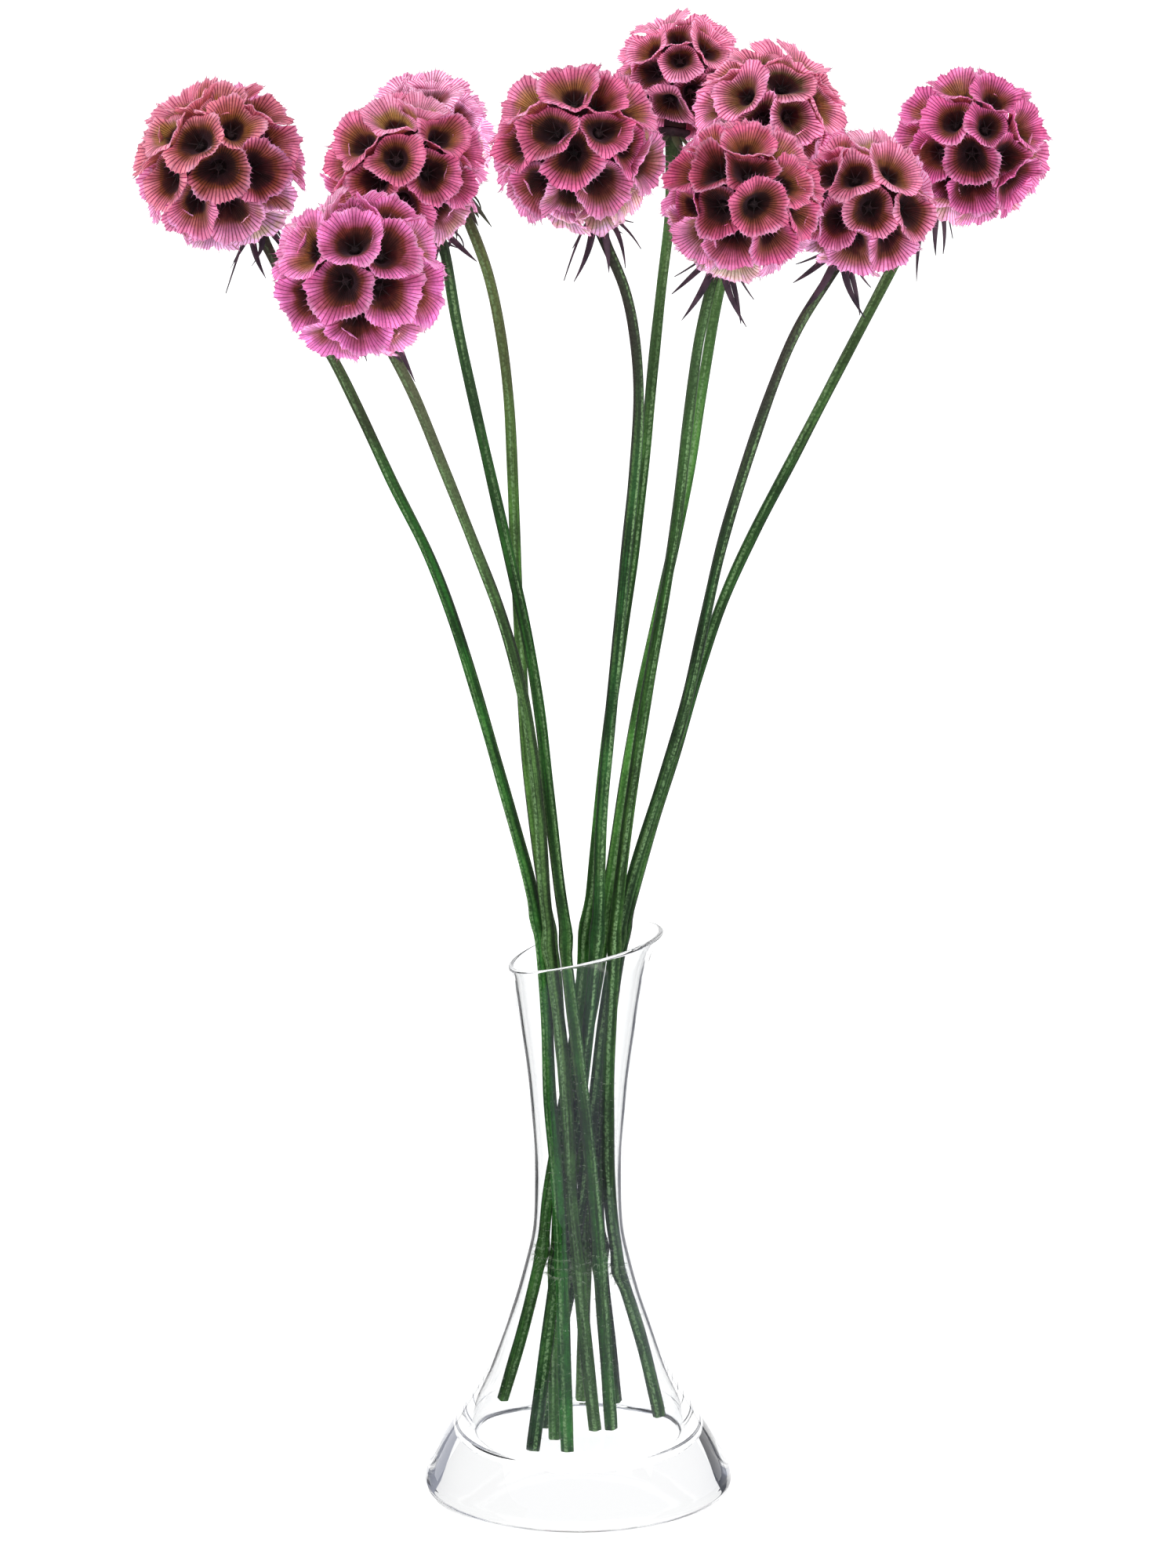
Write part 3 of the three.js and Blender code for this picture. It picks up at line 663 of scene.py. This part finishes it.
def drawFringe(spots, out, rib, centre, draws):
    # where the points stand on the rim, and which way each goes on from its rib
    onRib = (out > 0.99) & (rib > 0)
    below = (np.abs(out - cup["rings"][2]) < 0.01) & (rib > 0)
    ways = spots[onRib] - spots[below]
    ways = ways / np.linalg.norm(ways, axis=1)[:, None] + fringe["outward"] * centre
    ways = ways + draws.normal(0, fringe["stray"], ways.shape)
    return spots[onRib], ways / np.linalg.norm(ways, axis=1)[:, None], onRib


def drawCups(flower):
    flat = placesOf(cupPattern)
    angle = np.arctan2(flat[:, 1], flat[:, 0])
    out = np.hypot(flat[:, 0], flat[:, 1])
    rib = np.cos(angle * cup["ribs"])  # 1 on a rib and -1 between two
    up = np.clip((out - cup["floorEdge"]) / (1 - cup["floorEdge"]), 0, 1)
    directions = cupDirections(flower)
    others = np.vstack([directions, [(0, -1, 0)]])
    radius = flower["diameter"] / 2 * mm
    draws = np.random.default_rng(flower["seed"])
    copies, hearts, tones, roots, ways = [], [], [], [], []
    for k, centre in enumerate(directions):
        u, v = crossAxes(centre, np.array((1, 0, 0) if abs(centre[0]) < 0.7 else (0, 0, 1), float))
        outward = np.outer(np.cos(angle), u) + np.outer(np.sin(angle), v)
        reach, upper = roomFor(k, centre, outward, others, flower["seed"])
        own = draws.uniform(-1, 1, 6)
        length = up * (1 + cup["overlap"] * ((2 * upper - 1) * up + cup["overlapScatter"] * own[0]))
        # the floor is round, and the rim fills the room that the neighbours leave
        evenly = reach.mean()
        reach += (evenly - reach) * cup["evenness"] * upper
        throat = cup["throat"] * evenly
        wall = throat * (1 - up) + length ** cup["flare"] * cup["mouth"] * reach
        wall -= (length - up) * cup["drawnIn"] * reach
        tilt = np.where(up > 0, wall, throat * out / cup["floorEdge"])
        rim = globe["rim"] + globe["rimScatter"] * own[1]
        height = globe["floor"] + (rim - globe["floor"]) * length ** (1 / cup["rise"])
        phase = math.tau * chance(flower["seed"], k + 200)
        height += globe["ripple"] * np.sin(2 * angle + phase) * up ** 2
        frill = cup["frill"] * waves(angle, 3 * own[2:5], cup["frillWaves"])
        height += frill * (0.3 + 0.7 * upper) * up ** 4
        # neighbours share the long swells of their rims
        aim = np.cos(reach)[:, None] * centre + np.sin(reach)[:, None] * outward
        height += cup["swell"] * (np.sin(aim @ (7, 3, -5)) + np.sin(aim @ (-4, 8, 6) + 2)) * up ** 2
        height -= cup["tuck"] * (1 - upper) * up ** 2
        height += cup["pleat"] * rib * up ** 1.5 - cup["lip"] * up ** 10
        ragged = draws.uniform(0.4, 1.3, len(out))
        height += cup["tooth"] * np.where(rib > 0, ragged, 0) * (out > 0.99)
        lobes = cup["lobes"] * waves(angle, 9 * own[2:5], cup["lobeWaves"])
        tilt *= 1 + cup["oval"] * np.sin(2 * angle + 7 * own[3]) * up * (1 - up)
        tilt *= 1 + (cup["waist"] * rib + lobes * (0.2 + 0.8 * upper)) * up ** 2
        spots = (np.cos(tilt)[:, None] * centre + np.sin(tilt)[:, None] * outward) * height[:, None]
        copies.append(spots * radius)
        hearts.append((u, v, centre))
        tones.append(own[5])
        tips, away, onRib = drawFringe(spots, out, rib, centre, draws)
        bare = upper[onRib] > fringe["from"]
        roots.append(tips[bare] * radius * 0.995)
        ways.append(away[bare])
    turn = headTurn(flower)
    middle = np.array(flower["head"]) * mm
    facing = -(directions @ turn.T)[:, 1]
    hearts = np.einsum("vi,kij->kvj", placesOf(heartPattern), np.array(hearts)) * radius
    return {
        "cups": np.array(copies) @ turn.T + middle,
        "hearts": hearts @ turn.T + middle,
        # a random tone for each cup, lower on cups that face the camera and higher on those seen side-on or
        # from behind, which the membranes use for painted light through them
        "toneAndBacklight": np.clip(0.6 * np.array(tones) + 0.5 - 1.2 * facing, -1, 1)[:, None],
        "low": (1 - directions[:, 1:2]) / 2,
        "roots": np.vstack(roots) @ turn.T + middle,
        "ways": np.vstack(ways) @ turn.T,
    }


def buildHead(number, flower):
    drawn = drawCups(flower)
    cups = stamp("cups", cupPattern, drawn["cups"], {"toneAndBacklight": drawn["toneAndBacklight"], "low": drawn["low"]})
    cups.data.materials.append(cupMembrane(f"cupInside_{number}", flower, False))
    cups.data.materials.append(cupMembrane(f"cupOutside_{number}", flower, True))
    applyModifier(cups, "SOLIDIFY", thickness=cup["thickness"] * mm, offset=-1, use_even_offset=False,
                  material_offset=1)
    hearts = stamp("hearts", heartPattern, drawn["hearts"])
    hearts.data.materials.append(heartSkin)
    draws = np.random.default_rng(flower["seed"] + 500)
    lengths = draws.uniform(*fringe["lengths"], len(drawn["roots"])) * mm
    points = drawHairs(drawn["roots"], drawn["ways"], lengths, fringe["thick"] * mm)
    points.data.materials.append(fringeSkin)
    # the dark core behind the cups, and the neck that the stem's disc meets
    deselect()
    radius = flower["diameter"] / 2 * mm
    middle = Vector(flower["head"]) * mm
    crown = Vector(flower["crown"]).normalized()
    bpy.ops.mesh.primitive_uv_sphere_add(
        segments=40, ring_count=24, radius=globe["core"] * radius, location=middle
    )
    core = bpy.context.object
    core.data.materials.append(coreSkin)
    applyPlace()
    bpy.ops.object.shade_smooth()
    reach = (globe["base"] - globe["neckTop"]) * radius
    bpy.ops.mesh.primitive_cylinder_add(
        vertices=20, radius=globe["neck"] * mm, depth=reach,
        location=middle - crown * (globe["neckTop"] * radius + reach / 2),
        rotation=crown.to_track_quat("Z", "Y").to_euler(),
    )
    neck = bpy.context.object
    neck.data.materials.append(coreSkin)
    applyPlace()
    head = joined(f"seedHead_{number}", [cups, hearts, points, core, neck])
    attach(head, "root")
    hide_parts(f"head_{number}")


membrane = {
    "dark": (0.014, 0.006, 0.006, 1), "darkEdge": (0.036, 0.012, 0.01, 1),
    "orange": (0.6, 0.25, 0.07, 1), "olive": (0.6, 0.4, 0.13, 1),
    "backlitRim": (0.95, 0.43, 0.64, 1), "paleEdgeAndHighlight": (0.92, 0.4, 0.62, 1),
    "lilac": (0.95, 0.6, 0.82, 1), "straw": (0.92, 0.78, 0.46, 1),
    # along a rib, from the floor to the rim; inside, the near-black at the floor is partly painted shade deep
    # in the funnel
    "ribsInside": [(0.3, (0.004, 0.002, 0.002, 1)), (0.62, (0.02, 0.006, 0.004, 1)),
                   (0.8, (0.08, 0.007, 0.026, 1)), (1.0, (0.27, 0.02, 0.1, 1))],
    "ribsOutside": [(0.3, (0.05, 0.02, 0.015, 1)), (1.0, (0.34, 0.03, 0.14, 1))],
    "lowRibs": (0.22, 0.24, 0.05, 1),
    "glowInside": 0.3, "glowOutside": 0.4,
    "sockets": {"Roughness": 0.75, "Specular IOR Level": 0.12, "Subsurface Weight": 0.75,
                "Subsurface Radius": (1.0, 0.5, 0.65), "Subsurface Scale": 0.0015, "Sheen Weight": 0.2,
                "Sheen Roughness": 0.4, "Sheen Tint": (1, 0.55, 0.75, 1)},
}


def membraneStops(flower, outside):
    # the colours from the floor out to the rim; inside, the near-black floor is partly the cup's own dark
    # heart and partly painted shade deep in the funnel
    inside, pink = colour(flower["inside"]), colour(flower["pink"])
    bright = tinted((pink, 1.12), (white, 0.02))
    if outside:
        return [
            (0.3, tinted((inside, 0.6))), (0.6, tinted((inside, 0.6), (pink, 0.4))),
            (0.85, bright), (1.0, tinted((bright, 1), (white, 0.08))),
        ]
    return [
        (0.3, membrane["dark"]), (0.5, membrane["darkEdge"]), (0.6, tinted((inside, 0.45))),
        (0.68, tinted((inside, 0.45), (pink, 0.3))), (0.8, tinted((pink, 0.85))), (0.92, bright),
    ]


def cupMembrane(name, flower, outside):
    material, tree, shader = newMaterial(name)
    along = addNode(tree, "ShaderNodeUVMap", uv_map="along").outputs[0]
    split = addNode(tree, "ShaderNodeSeparateXYZ", {0: along})
    around, out = split.outputs[0], split.outputs[1]
    toneAndBacklight, low = attribute(tree, "toneAndBacklight"), attribute(tree, "low")
    blotches, grains = mottled(tree, 160.0, 1500.0)
    # each cup's tone, higher on cups seen side-on, and the blotches push the bands of colour in and out
    wobble = worked(tree, "ADD", times(tree, toneAndBacklight, 0.12), between(tree, blotches, 0.0, 1.0, 0.03, -0.09))
    band = worked(tree, "ADD", worked(tree, "ADD", out, flower["open"]), wobble)
    base = ramp(tree, band, membraneStops(flower, outside))
    # some cups, mostly those seen side-on, are orange between their dark middle and the rim: partly the
    # membrane's own colour, partly painted light shining through it
    warmAndBacklit = times(tree, between(tree, toneAndBacklight, -0.4, 0.8, 0.05, 0.85), between(tree, band, 0.44, 0.6))
    warmAndBacklit = times(tree, warmAndBacklit, between(tree, band, 0.7, 0.88, 1.0, 0.0))
    olive = blended(tree, between(tree, toneAndBacklight, 0.2, 0.9), membrane["orange"], membrane["olive"])
    base = blended(tree, warmAndBacklit, base, olive)
    # and on cups seen side-on, a painted backlight makes the thin rims paler, as where light comes through
    # them
    thin = times(tree, between(tree, toneAndBacklight, 0.0, 0.9, 0.0, flower["thin"]), between(tree, band, 0.62, 0.9))
    base = blended(tree, thin, base, membrane["backlitRim"])
    # the cups low on the head are paler, with greener ribs
    lowMask = between(tree, low, 0.5, 0.85, 0.0, max(0.0, flower["pale"] + 0.3))
    faded = blended(tree, between(tree, blotches, 0.4, 1.0), membrane["lilac"], membrane["straw"])
    base = blended(tree, times(tree, lowMask, between(tree, band, 0.5, 0.8)), base, faded)
    line = useGroup(tree, ribs, Around=around, Count=float(cup["ribs"]), Width=flower["rib"])["Line"]
    ribColour = ramp(tree, band, membrane["ribsOutside" if outside else "ribsInside"])
    ribColour = blended(tree, times(tree, lowMask, 0.8), ribColour, membrane["lowRibs"])
    strong = times(tree, line, between(tree, out, 0.3, 0.6, 0.3, 0.97))
    base = blended(tree, strong, base, ribColour)
    # a pale edge along the rims, partly their own colour and partly a painted highlight
    paleEdgeAndHighlight = times(tree, between(tree, out, 0.88, 1.0), between(tree, blotches, 0.2, 0.9, 0.0, 0.5))
    base = blended(tree, paleEdgeAndHighlight, base, membrane["paleEdgeAndHighlight"])
    # painted light and shade of soft folds in the membrane, so the ribs stand in lighter and darker bunches
    turns = times(tree, around, math.tau)
    rounds = triple(tree, worked(tree, "COSINE", turns), worked(tree, "SINE", turns), times(tree, toneAndBacklight, 9.0))
    foldShading = between(tree, noise(tree, rounds, 2.8, 2.0), 0.38, 0.62, 0.76, 1.24)
    fine = times(tree, between(tree, grains, 0.0, 1.0, 0.86, 1.08), foldShading)
    # where a flower's pale is below zero, its low cups are darker
    fine = times(tree, fine, between(tree, low, 0.36, 0.55, 1.0, 1 - max(0.0, -flower["pale"])))
    violet = between(tree, low, 0.12, 0.6, 1 - 0.4 * flower["violet"], 1 + flower["violet"])
    shade = triple(tree, fine, fine, times(tree, fine, violet))
    base = blended(tree, 1.0, base, shade, "MULTIPLY")
    tree.links.new(base, shader.inputs["Base Color"])
    # a painted glow by emission, standing for light that comes through the thin rim, stronger on the low
    # cups, which lie in shade
    glow = blended(tree, between(tree, band, 0.72, 0.98), (0, 0, 0, 1), base)
    through = between(tree, low, 0.45, 0.85, 1.0, 1.8)
    glow = blended(tree, 1.0, glow, triple(tree, through, through, through), "MULTIPLY")
    tree.links.new(glow, shader.inputs["Emission Color"])
    strength = membrane["glowOutside" if outside else "glowInside"] + flower["glow"]
    setSockets(shader, {"Emission Strength": strength, **membrane["sockets"]})
    bumped(tree, shader, line, 0.5, 0.0002)
    return material


cupPattern = modelCup()
heartPattern = modelHeart()
heartSkin = plainSkin("cupHeart", "#1c0f10", "#4a3438")
coreSkin = plainSkin("headCore", "#1a120c", "#3a2c18")
fringeSkin = plainSkin("cupFringe", "#943460", "#e692ba", 900.0)
for number, flower in numbered:
    buildHead(number, flower)
    print("seed head", number, "grown")

# stems

stalk = {
    "sides": 32, "rings": 150, "ridges": 5, "ridgeHeight": 0.07,
    "step": 2.6,  # between rings, in millimetres
    "solidSides": 6, "thin": 0.94,  # of the solid's own radius, which runs through its corners
    "gap": 0.35, "straight": 4, "bent": 8.5,  # below the head
    "disc": [(0, 4.2), (0.9, 4.25), (1.4, 3.9), (2.2, 3.0), (3.2, 2.35), (4.5, 1.95), (7, 1.6)],
    "twist": (0.8, 30),  # how far the ridges wander, and how fast with height
    "swells": ((0.03, 90, 1), (0.02, 210, 2)),
    "lineTurn": 1.6, "lineWander": (0.35, 14),  # of the pale line
}
bract = {
    "count": 8, "width": 2.3, "fold": 0.3, "thickness": 0.25, "joints": 9,
    "lengths": (0.65, 1.1),  # shares of the flower's own length
    "under": 1.6, "out": 2.4, "spread": 3.6, "sag": 3,
    "lean": (-0.1, 0.35), "back": 0.35,
    "curl": ((-4, 4), (-1, 5)), "hook": ((-6, 6), (-3, 3.5)),  # sideways and outwards
    "green": ("02", "06", "07"),
}
# the hairs of a stem in millimetres, and the heights in metres between which its lower joint lies
fuzz = {"count": 400, "ringed": 130, "jointFrom": 0.055, "jointTo": 0.085, "above": 25, "stray": 0.35,
        "shortest": 0.8, "longest": 1.2, "ringLongest": 2.6, "thick": 0.055}


def modelSleeve():
    # a straight sleeve of unit length, closed at both ends, that every stem copies
    deselect()
    bpy.ops.mesh.primitive_circle_add(vertices=stalk["sides"], radius=1, fill_type="NGON", calc_uvs=False)
    sleeve = bpy.context.object
    startEdit()
    for _ in range(stalk["rings"]):
        bpy.ops.mesh.extrude_region_move(TRANSFORM_OT_translate={"value": (0, 0, 1 / stalk["rings"])})
    endEdit()
    return sleeve


def modelBract():
    # a narrow blade of unit length along Y, to be folded, tapered and bent
    deselect()
    bpy.ops.mesh.primitive_grid_add(x_subdivisions=4, y_subdivisions=bract["joints"], size=1, calc_uvs=False)
    blade = bpy.context.object
    blade.location.y = 0.5
    applyPlace()
    return blade


def solidRings(node):
    # middle and radius of each ring of a stem's plain solid, from the cut end up, in metres
    places = placesOf(node)
    keys, index = np.unique(np.round(places, 6), axis=0, return_inverse=True)
    index = index.ravel()
    links = [set() for _ in keys]
    for face in node.data.polygons:
        a, b, c = (index[v] for v in face.vertices)
        for one, two in ((a, b), (b, c), (c, a)):
            links[one].add(two)
            links[two].add(one)
    sides = stalk["solidSides"]
    lowest = keys[:, 2].min() + 3 * mm
    low = [i for i in range(len(keys)) if keys[i, 2] < lowest and len(links[i]) == sides]
    foot = min(low, key=lambda i: np.linalg.norm(keys[list(links[i])].mean(0) - keys[i]))
    rings = [(keys[foot], np.linalg.norm(keys[list(links[foot])] - keys[foot], axis=1).mean())]
    seen = edge = {foot}
    while True:
        edge = {j for i in edge for j in links[i]} - seen
        if len(edge) != sides:
            return rings
        seen = seen | edge
        ring = keys[list(edge)]
        rings.append((ring.mean(0), np.linalg.norm(ring - ring.mean(0), axis=1).mean()))


def stemTop(flower):
    # where the stem's disc meets the head, in millimetres
    reach = globe["base"] * flower["diameter"] / 2 + stalk["gap"]
    return np.array(flower["head"]) - unit(flower["crown"]) * reach


def stemLine(flower, node):
    # the stem's middle line and radius from the cut end up to its disc, in metres
    rings = solidRings(node)[1:]
    top = stemTop(flower) * mm
    kept = [(p, r) for p, r in rings if np.linalg.norm(p - top) > stalk["bent"] * mm]
    knots = np.array([*[p for p, _ in kept], top - unit(flower["crown"]) * stalk["straight"] * mm, top])
    line = smoothLine(knots / mm, 1.0) * mm
    gone = np.concatenate([[0], np.cumsum(np.linalg.norm(np.diff(line, axis=0), axis=1))])
    length = gone[-1]
    steps = round(length / (stalk["step"] * mm))
    fine = [length - d * mm for d, _ in stalk["disc"]][::-1]
    at = np.concatenate([np.linspace(0, fine[0], steps - len(fine), endpoint=False), fine])
    spots = np.stack([np.interp(at, gone, line[:, i]) for i in range(3)], 1)
    knotAt = [gone[np.linalg.norm(line - p, axis=1).argmin()] for p, _ in kept]
    radius = np.interp(at, knotAt, [r for _, r in kept]) * stalk["thin"]
    radius[-len(fine):] = [r * mm for _, r in stalk["disc"]][::-1]
    return at, spots, radius


def drawStem(number, flower):
    at, spots, radius = stemLine(flower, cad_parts[f"stem_{number}"])
    share = np.linspace(0, 1, len(at))
    levels = np.linspace(0, 1, stalk["rings"] + 1)
    at, radius = np.interp(levels, share, at), np.interp(levels, share, radius)
    spots = np.stack([np.interp(levels, share, spots[:, i]) for i in range(3)], 1)
    ahead = np.gradient(spots, axis=0)
    ahead /= np.linalg.norm(ahead, axis=1)[:, None]
    ahead[-1] = ahead[-2] = unit(flower["crown"])
    side = np.cross(ahead, (0, 1, 0))
    side /= np.linalg.norm(side, axis=1)[:, None]
    back = np.cross(ahead, side)
    flat = placesOf(sleeve)
    level = np.clip(np.round(flat[:, 2] * stalk["rings"]), 0, stalk["rings"]).astype(int)
    height = at[level]
    angle = np.arctan2(flat[:, 1], flat[:, 0])
    phase = math.tau * chance(flower["seed"], 500)
    twist, often = stalk["twist"]
    ridge = np.cos(stalk["ridges"] * angle + phase + twist * np.sin(height * often))
    swell = sum((depth * np.sin(height * rate + k * phase) for depth, rate, k in stalk["swells"]), 1)
    reach = radius[level] * swell * (1 + stalk["ridgeHeight"] * ridge)
    outward = np.cos(angle)[:, None] * side[level] + np.sin(angle)[:, None] * back[level]
    shaped = spots[level] + reach[:, None] * outward
    # 1 along the side where a pale line runs, and -1 opposite, where the skin gets painted shade
    turned = stalk["lineTurn"] * (chance(flower["seed"], 501) - 0.5)
    wander, often = stalk["lineWander"]
    line = np.cos(angle - math.pi / 2 + turned + wander * np.sin(height * often + phase))
    marks = {"ridge": ridge, "line": line, "height": height, "fromTop": at[-1] - height}
    return stamp("stem", sleeve, shaped[None], marks), spots, radius, side, back


def drawBracts(flower, draws):
    crown = unit(flower["crown"])
    u, v = crossAxes(crown, np.array((1.0, 0, 0)))
    flat = placesOf(blade)
    across, along = 2 * flat[:, 0], flat[:, 1]
    t = along[:, None]
    copies = []
    for k in range(bract["count"]):
        angle = math.tau * (k + 0.5 * draws.random()) / bract["count"]
        outward = math.cos(angle) * u + math.sin(angle) * v
        length = flower["bracts"] * draws.uniform(*bract["lengths"])
        root = stemTop(flower) - bract["under"] * crown + bract["out"] * outward
        bend = root + bract["spread"] * outward - bract["sag"] * crown
        droop = unit(outward * draws.uniform(*bract["lean"]) - crown * bract["back"] + np.array((0, 0, -1.0)))
        tip = bend + droop * (length - bract["spread"])
        sideways = np.cross(outward, crown)
        curl, hook = (sideways * draws.uniform(*bract[way][0]) + outward * draws.uniform(*bract[way][1])
                      for way in ("curl", "hook"))
        spine = (1 - t) ** 2 * root + 2 * t * (1 - t) * bend + t ** 2 * (tip + curl) + t ** 3 * hook
        forward = 2 * (1 - t) * (bend - root) + 2 * t * (tip + curl - bend) + 3 * t ** 2 * hook
        forward /= np.linalg.norm(forward, axis=1)[:, None]
        normal = np.cross(forward, -sideways)
        width = across * bract["width"] / 2 * (0.85 + 0.55 * along - 1.4 * along ** 2.6).clip(0.03)
        place = spine - width[:, None] * sideways - bract["fold"] * np.abs(width)[:, None] * normal
        copies.append(place * mm)
    return stamp("bracts", blade, np.array(copies))


def drawFuzz(spots, radius, side, back, draws):
    # a ragged ring of hairs at the lower joint, and finer ones scattered below it
    swollen = [i for i in range(len(spots)) if fuzz["jointFrom"] < spots[i, 2] < fuzz["jointTo"]]
    joint = max(swollen, key=lambda i: radius[i])
    roots, ways, lengths = [], [], []
    for k in range(fuzz["count"]):
        ringed = k < fuzz["ringed"]
        i = joint + draws.integers(-1, 2) if ringed else draws.integers(1, joint + fuzz["above"])
        angle = draws.uniform(0, math.tau)
        outward = math.cos(angle) * side[i] + math.sin(angle) * back[i]
        lean = draws.normal(0, fuzz["stray"], 3) + np.array((0, 0, -0.3 if ringed else 0.1))
        roots.append(spots[i] + outward * radius[i] * 0.95)
        ways.append(unit(outward + lean))
        lengths.append(draws.uniform(fuzz["shortest"], fuzz["ringLongest" if ringed else "longest"]) * mm)
    return drawHairs(roots, ways, lengths, fuzz["thick"] * mm)


def buildStem(number, flower):
    stem, *shape = drawStem(number, flower)
    stem.data.materials.append(stemSkin(number, flower))
    draws = np.random.default_rng(flower["seed"] + 1000)
    bracts = drawBracts(flower, draws)
    bracts.data.materials.append(greenBractSkin if number in bract["green"] else bractSkin)
    applyModifier(bracts, "SOLIDIFY", thickness=bract["thickness"] * mm, offset=0)
    hairs = drawFuzz(*shape, draws)
    hairs.data.materials.append(hairSkin)
    piece = joined(f"stem_{number}_skin", [stem, bracts, hairs])
    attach(piece, "root")
    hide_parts(f"stem_{number}")


rind = {
    "green": (0.74, 0.96, 0.62), "deep": (0.006, 0.004, 0.005), "shadow": (0.028, 0.028, 0.026, 1),
    "ridgeHighlight": (0.38, 0.6, 0.2, 1), "paleLineAndHighlight": (0.24, 0.42, 0.18, 1), "under": "#26241c", "disc": "#3a2b30",
}


def stemSkin(number, flower):
    material, tree, shader = newMaterial(f"stemSkin_{number}")
    blotches, grains = mottled(tree, 70.0, 1400.0)
    ridge, line = attribute(tree, "ridge"), attribute(tree, "line")
    fromTop, height = attribute(tree, "fromTop"), attribute(tree, "height")
    green = (*[k * c for k, c in zip(rind["green"], colour(flower["stem"]))], 1)
    dark = tinted((green, 0.2), (rind["deep"], 1))
    # long dark stretches
    shift = triple(tree, times(tree, ridge, 0.4), chance(flower["seed"], 7), times(tree, height, 22.0))
    stretches = noise(tree, shift, 1.6, 3.0)
    base = blended(tree, between(tree, blotches, 0.0, 1.0, 0.35, 1.0), dark, green)
    base = blended(tree, between(tree, stretches, 0.42, 0.62, 0.0, 0.7), base, dark)
    # painted shade down the side away from the pale line
    base = blended(tree, between(tree, line, -0.3, 0.6, 0.8, 0.0), base, rind["shadow"])
    # darker towards the head: its own darker neck colour, then a painted shadow that the head casts, then the
    # dark disc
    base = blended(tree, between(tree, fromTop, 0.0, 0.11, 0.85, 0.0), base, colour(flower["neck"]))
    base = blended(tree, between(tree, fromTop, 0.004, 0.024, 0.7, 0.0), base, colour(rind["under"]))
    base = blended(tree, between(tree, fromTop, 0.0015, 0.005, 1.0, 0.0), base, colour(rind["disc"]))
    # painted highlights along the ridges, and one pale speckled line that is partly a painted highlight on
    # the stem's lit side; both come and go, and stop short of the head's painted shadow
    below = between(tree, fromTop, 0.004, 0.024)
    ridgeHighlight = times(tree, between(tree, ridge, -0.4, 1.0), between(tree, stretches, 0.38, 0.58, 0.4, 0.0))
    ridgeHighlight = times(tree, times(tree, ridgeHighlight, between(tree, grains, 0.0, 1.0, 0.55, 1.0)), below)
    base = blended(tree, ridgeHighlight, base, tinted((green, 0.6), (rind["ridgeHighlight"], 0.4)))
    paleLineAndHighlight = times(tree, between(tree, line, 0.93, 0.99), between(tree, stretches, 0.4, 0.62, 0.9, 0.2))
    paleLineAndHighlight = times(tree, times(tree, paleLineAndHighlight, between(tree, grains, 0.2, 0.8, 0.3, 1.0)), below)
    base = blended(tree, paleLineAndHighlight, base, rind["paleLineAndHighlight"])
    fine = between(tree, grains, 0.0, 1.0, 0.8, 1.15)
    base = blended(tree, 1.0, base, triple(tree, fine, fine, fine), "MULTIPLY")
    tree.links.new(base, shader.inputs["Base Color"])
    setSockets(shader, {"Roughness": 0.5, "Specular IOR Level": 0.13})
    bumped(tree, shader, grains, 0.35, 0.0001)
    return material


sleeve = modelSleeve()
blade = modelBract()
bractSkin = plainSkin("bractSkin", "#2a1a2c", "#584050")
greenBractSkin = plainSkin("greenBractSkin", "#2c2a22", "#4c5638")
hairSkin = plainSkin("hairSkin", "#8fae80", "#d8e4cc")
for number, flower in numbered:
    buildStem(number, flower)
for pattern in (cupPattern, heartPattern, sleeve, blade, hair):
    bpy.data.objects.remove(pattern)
print("stems drawn")
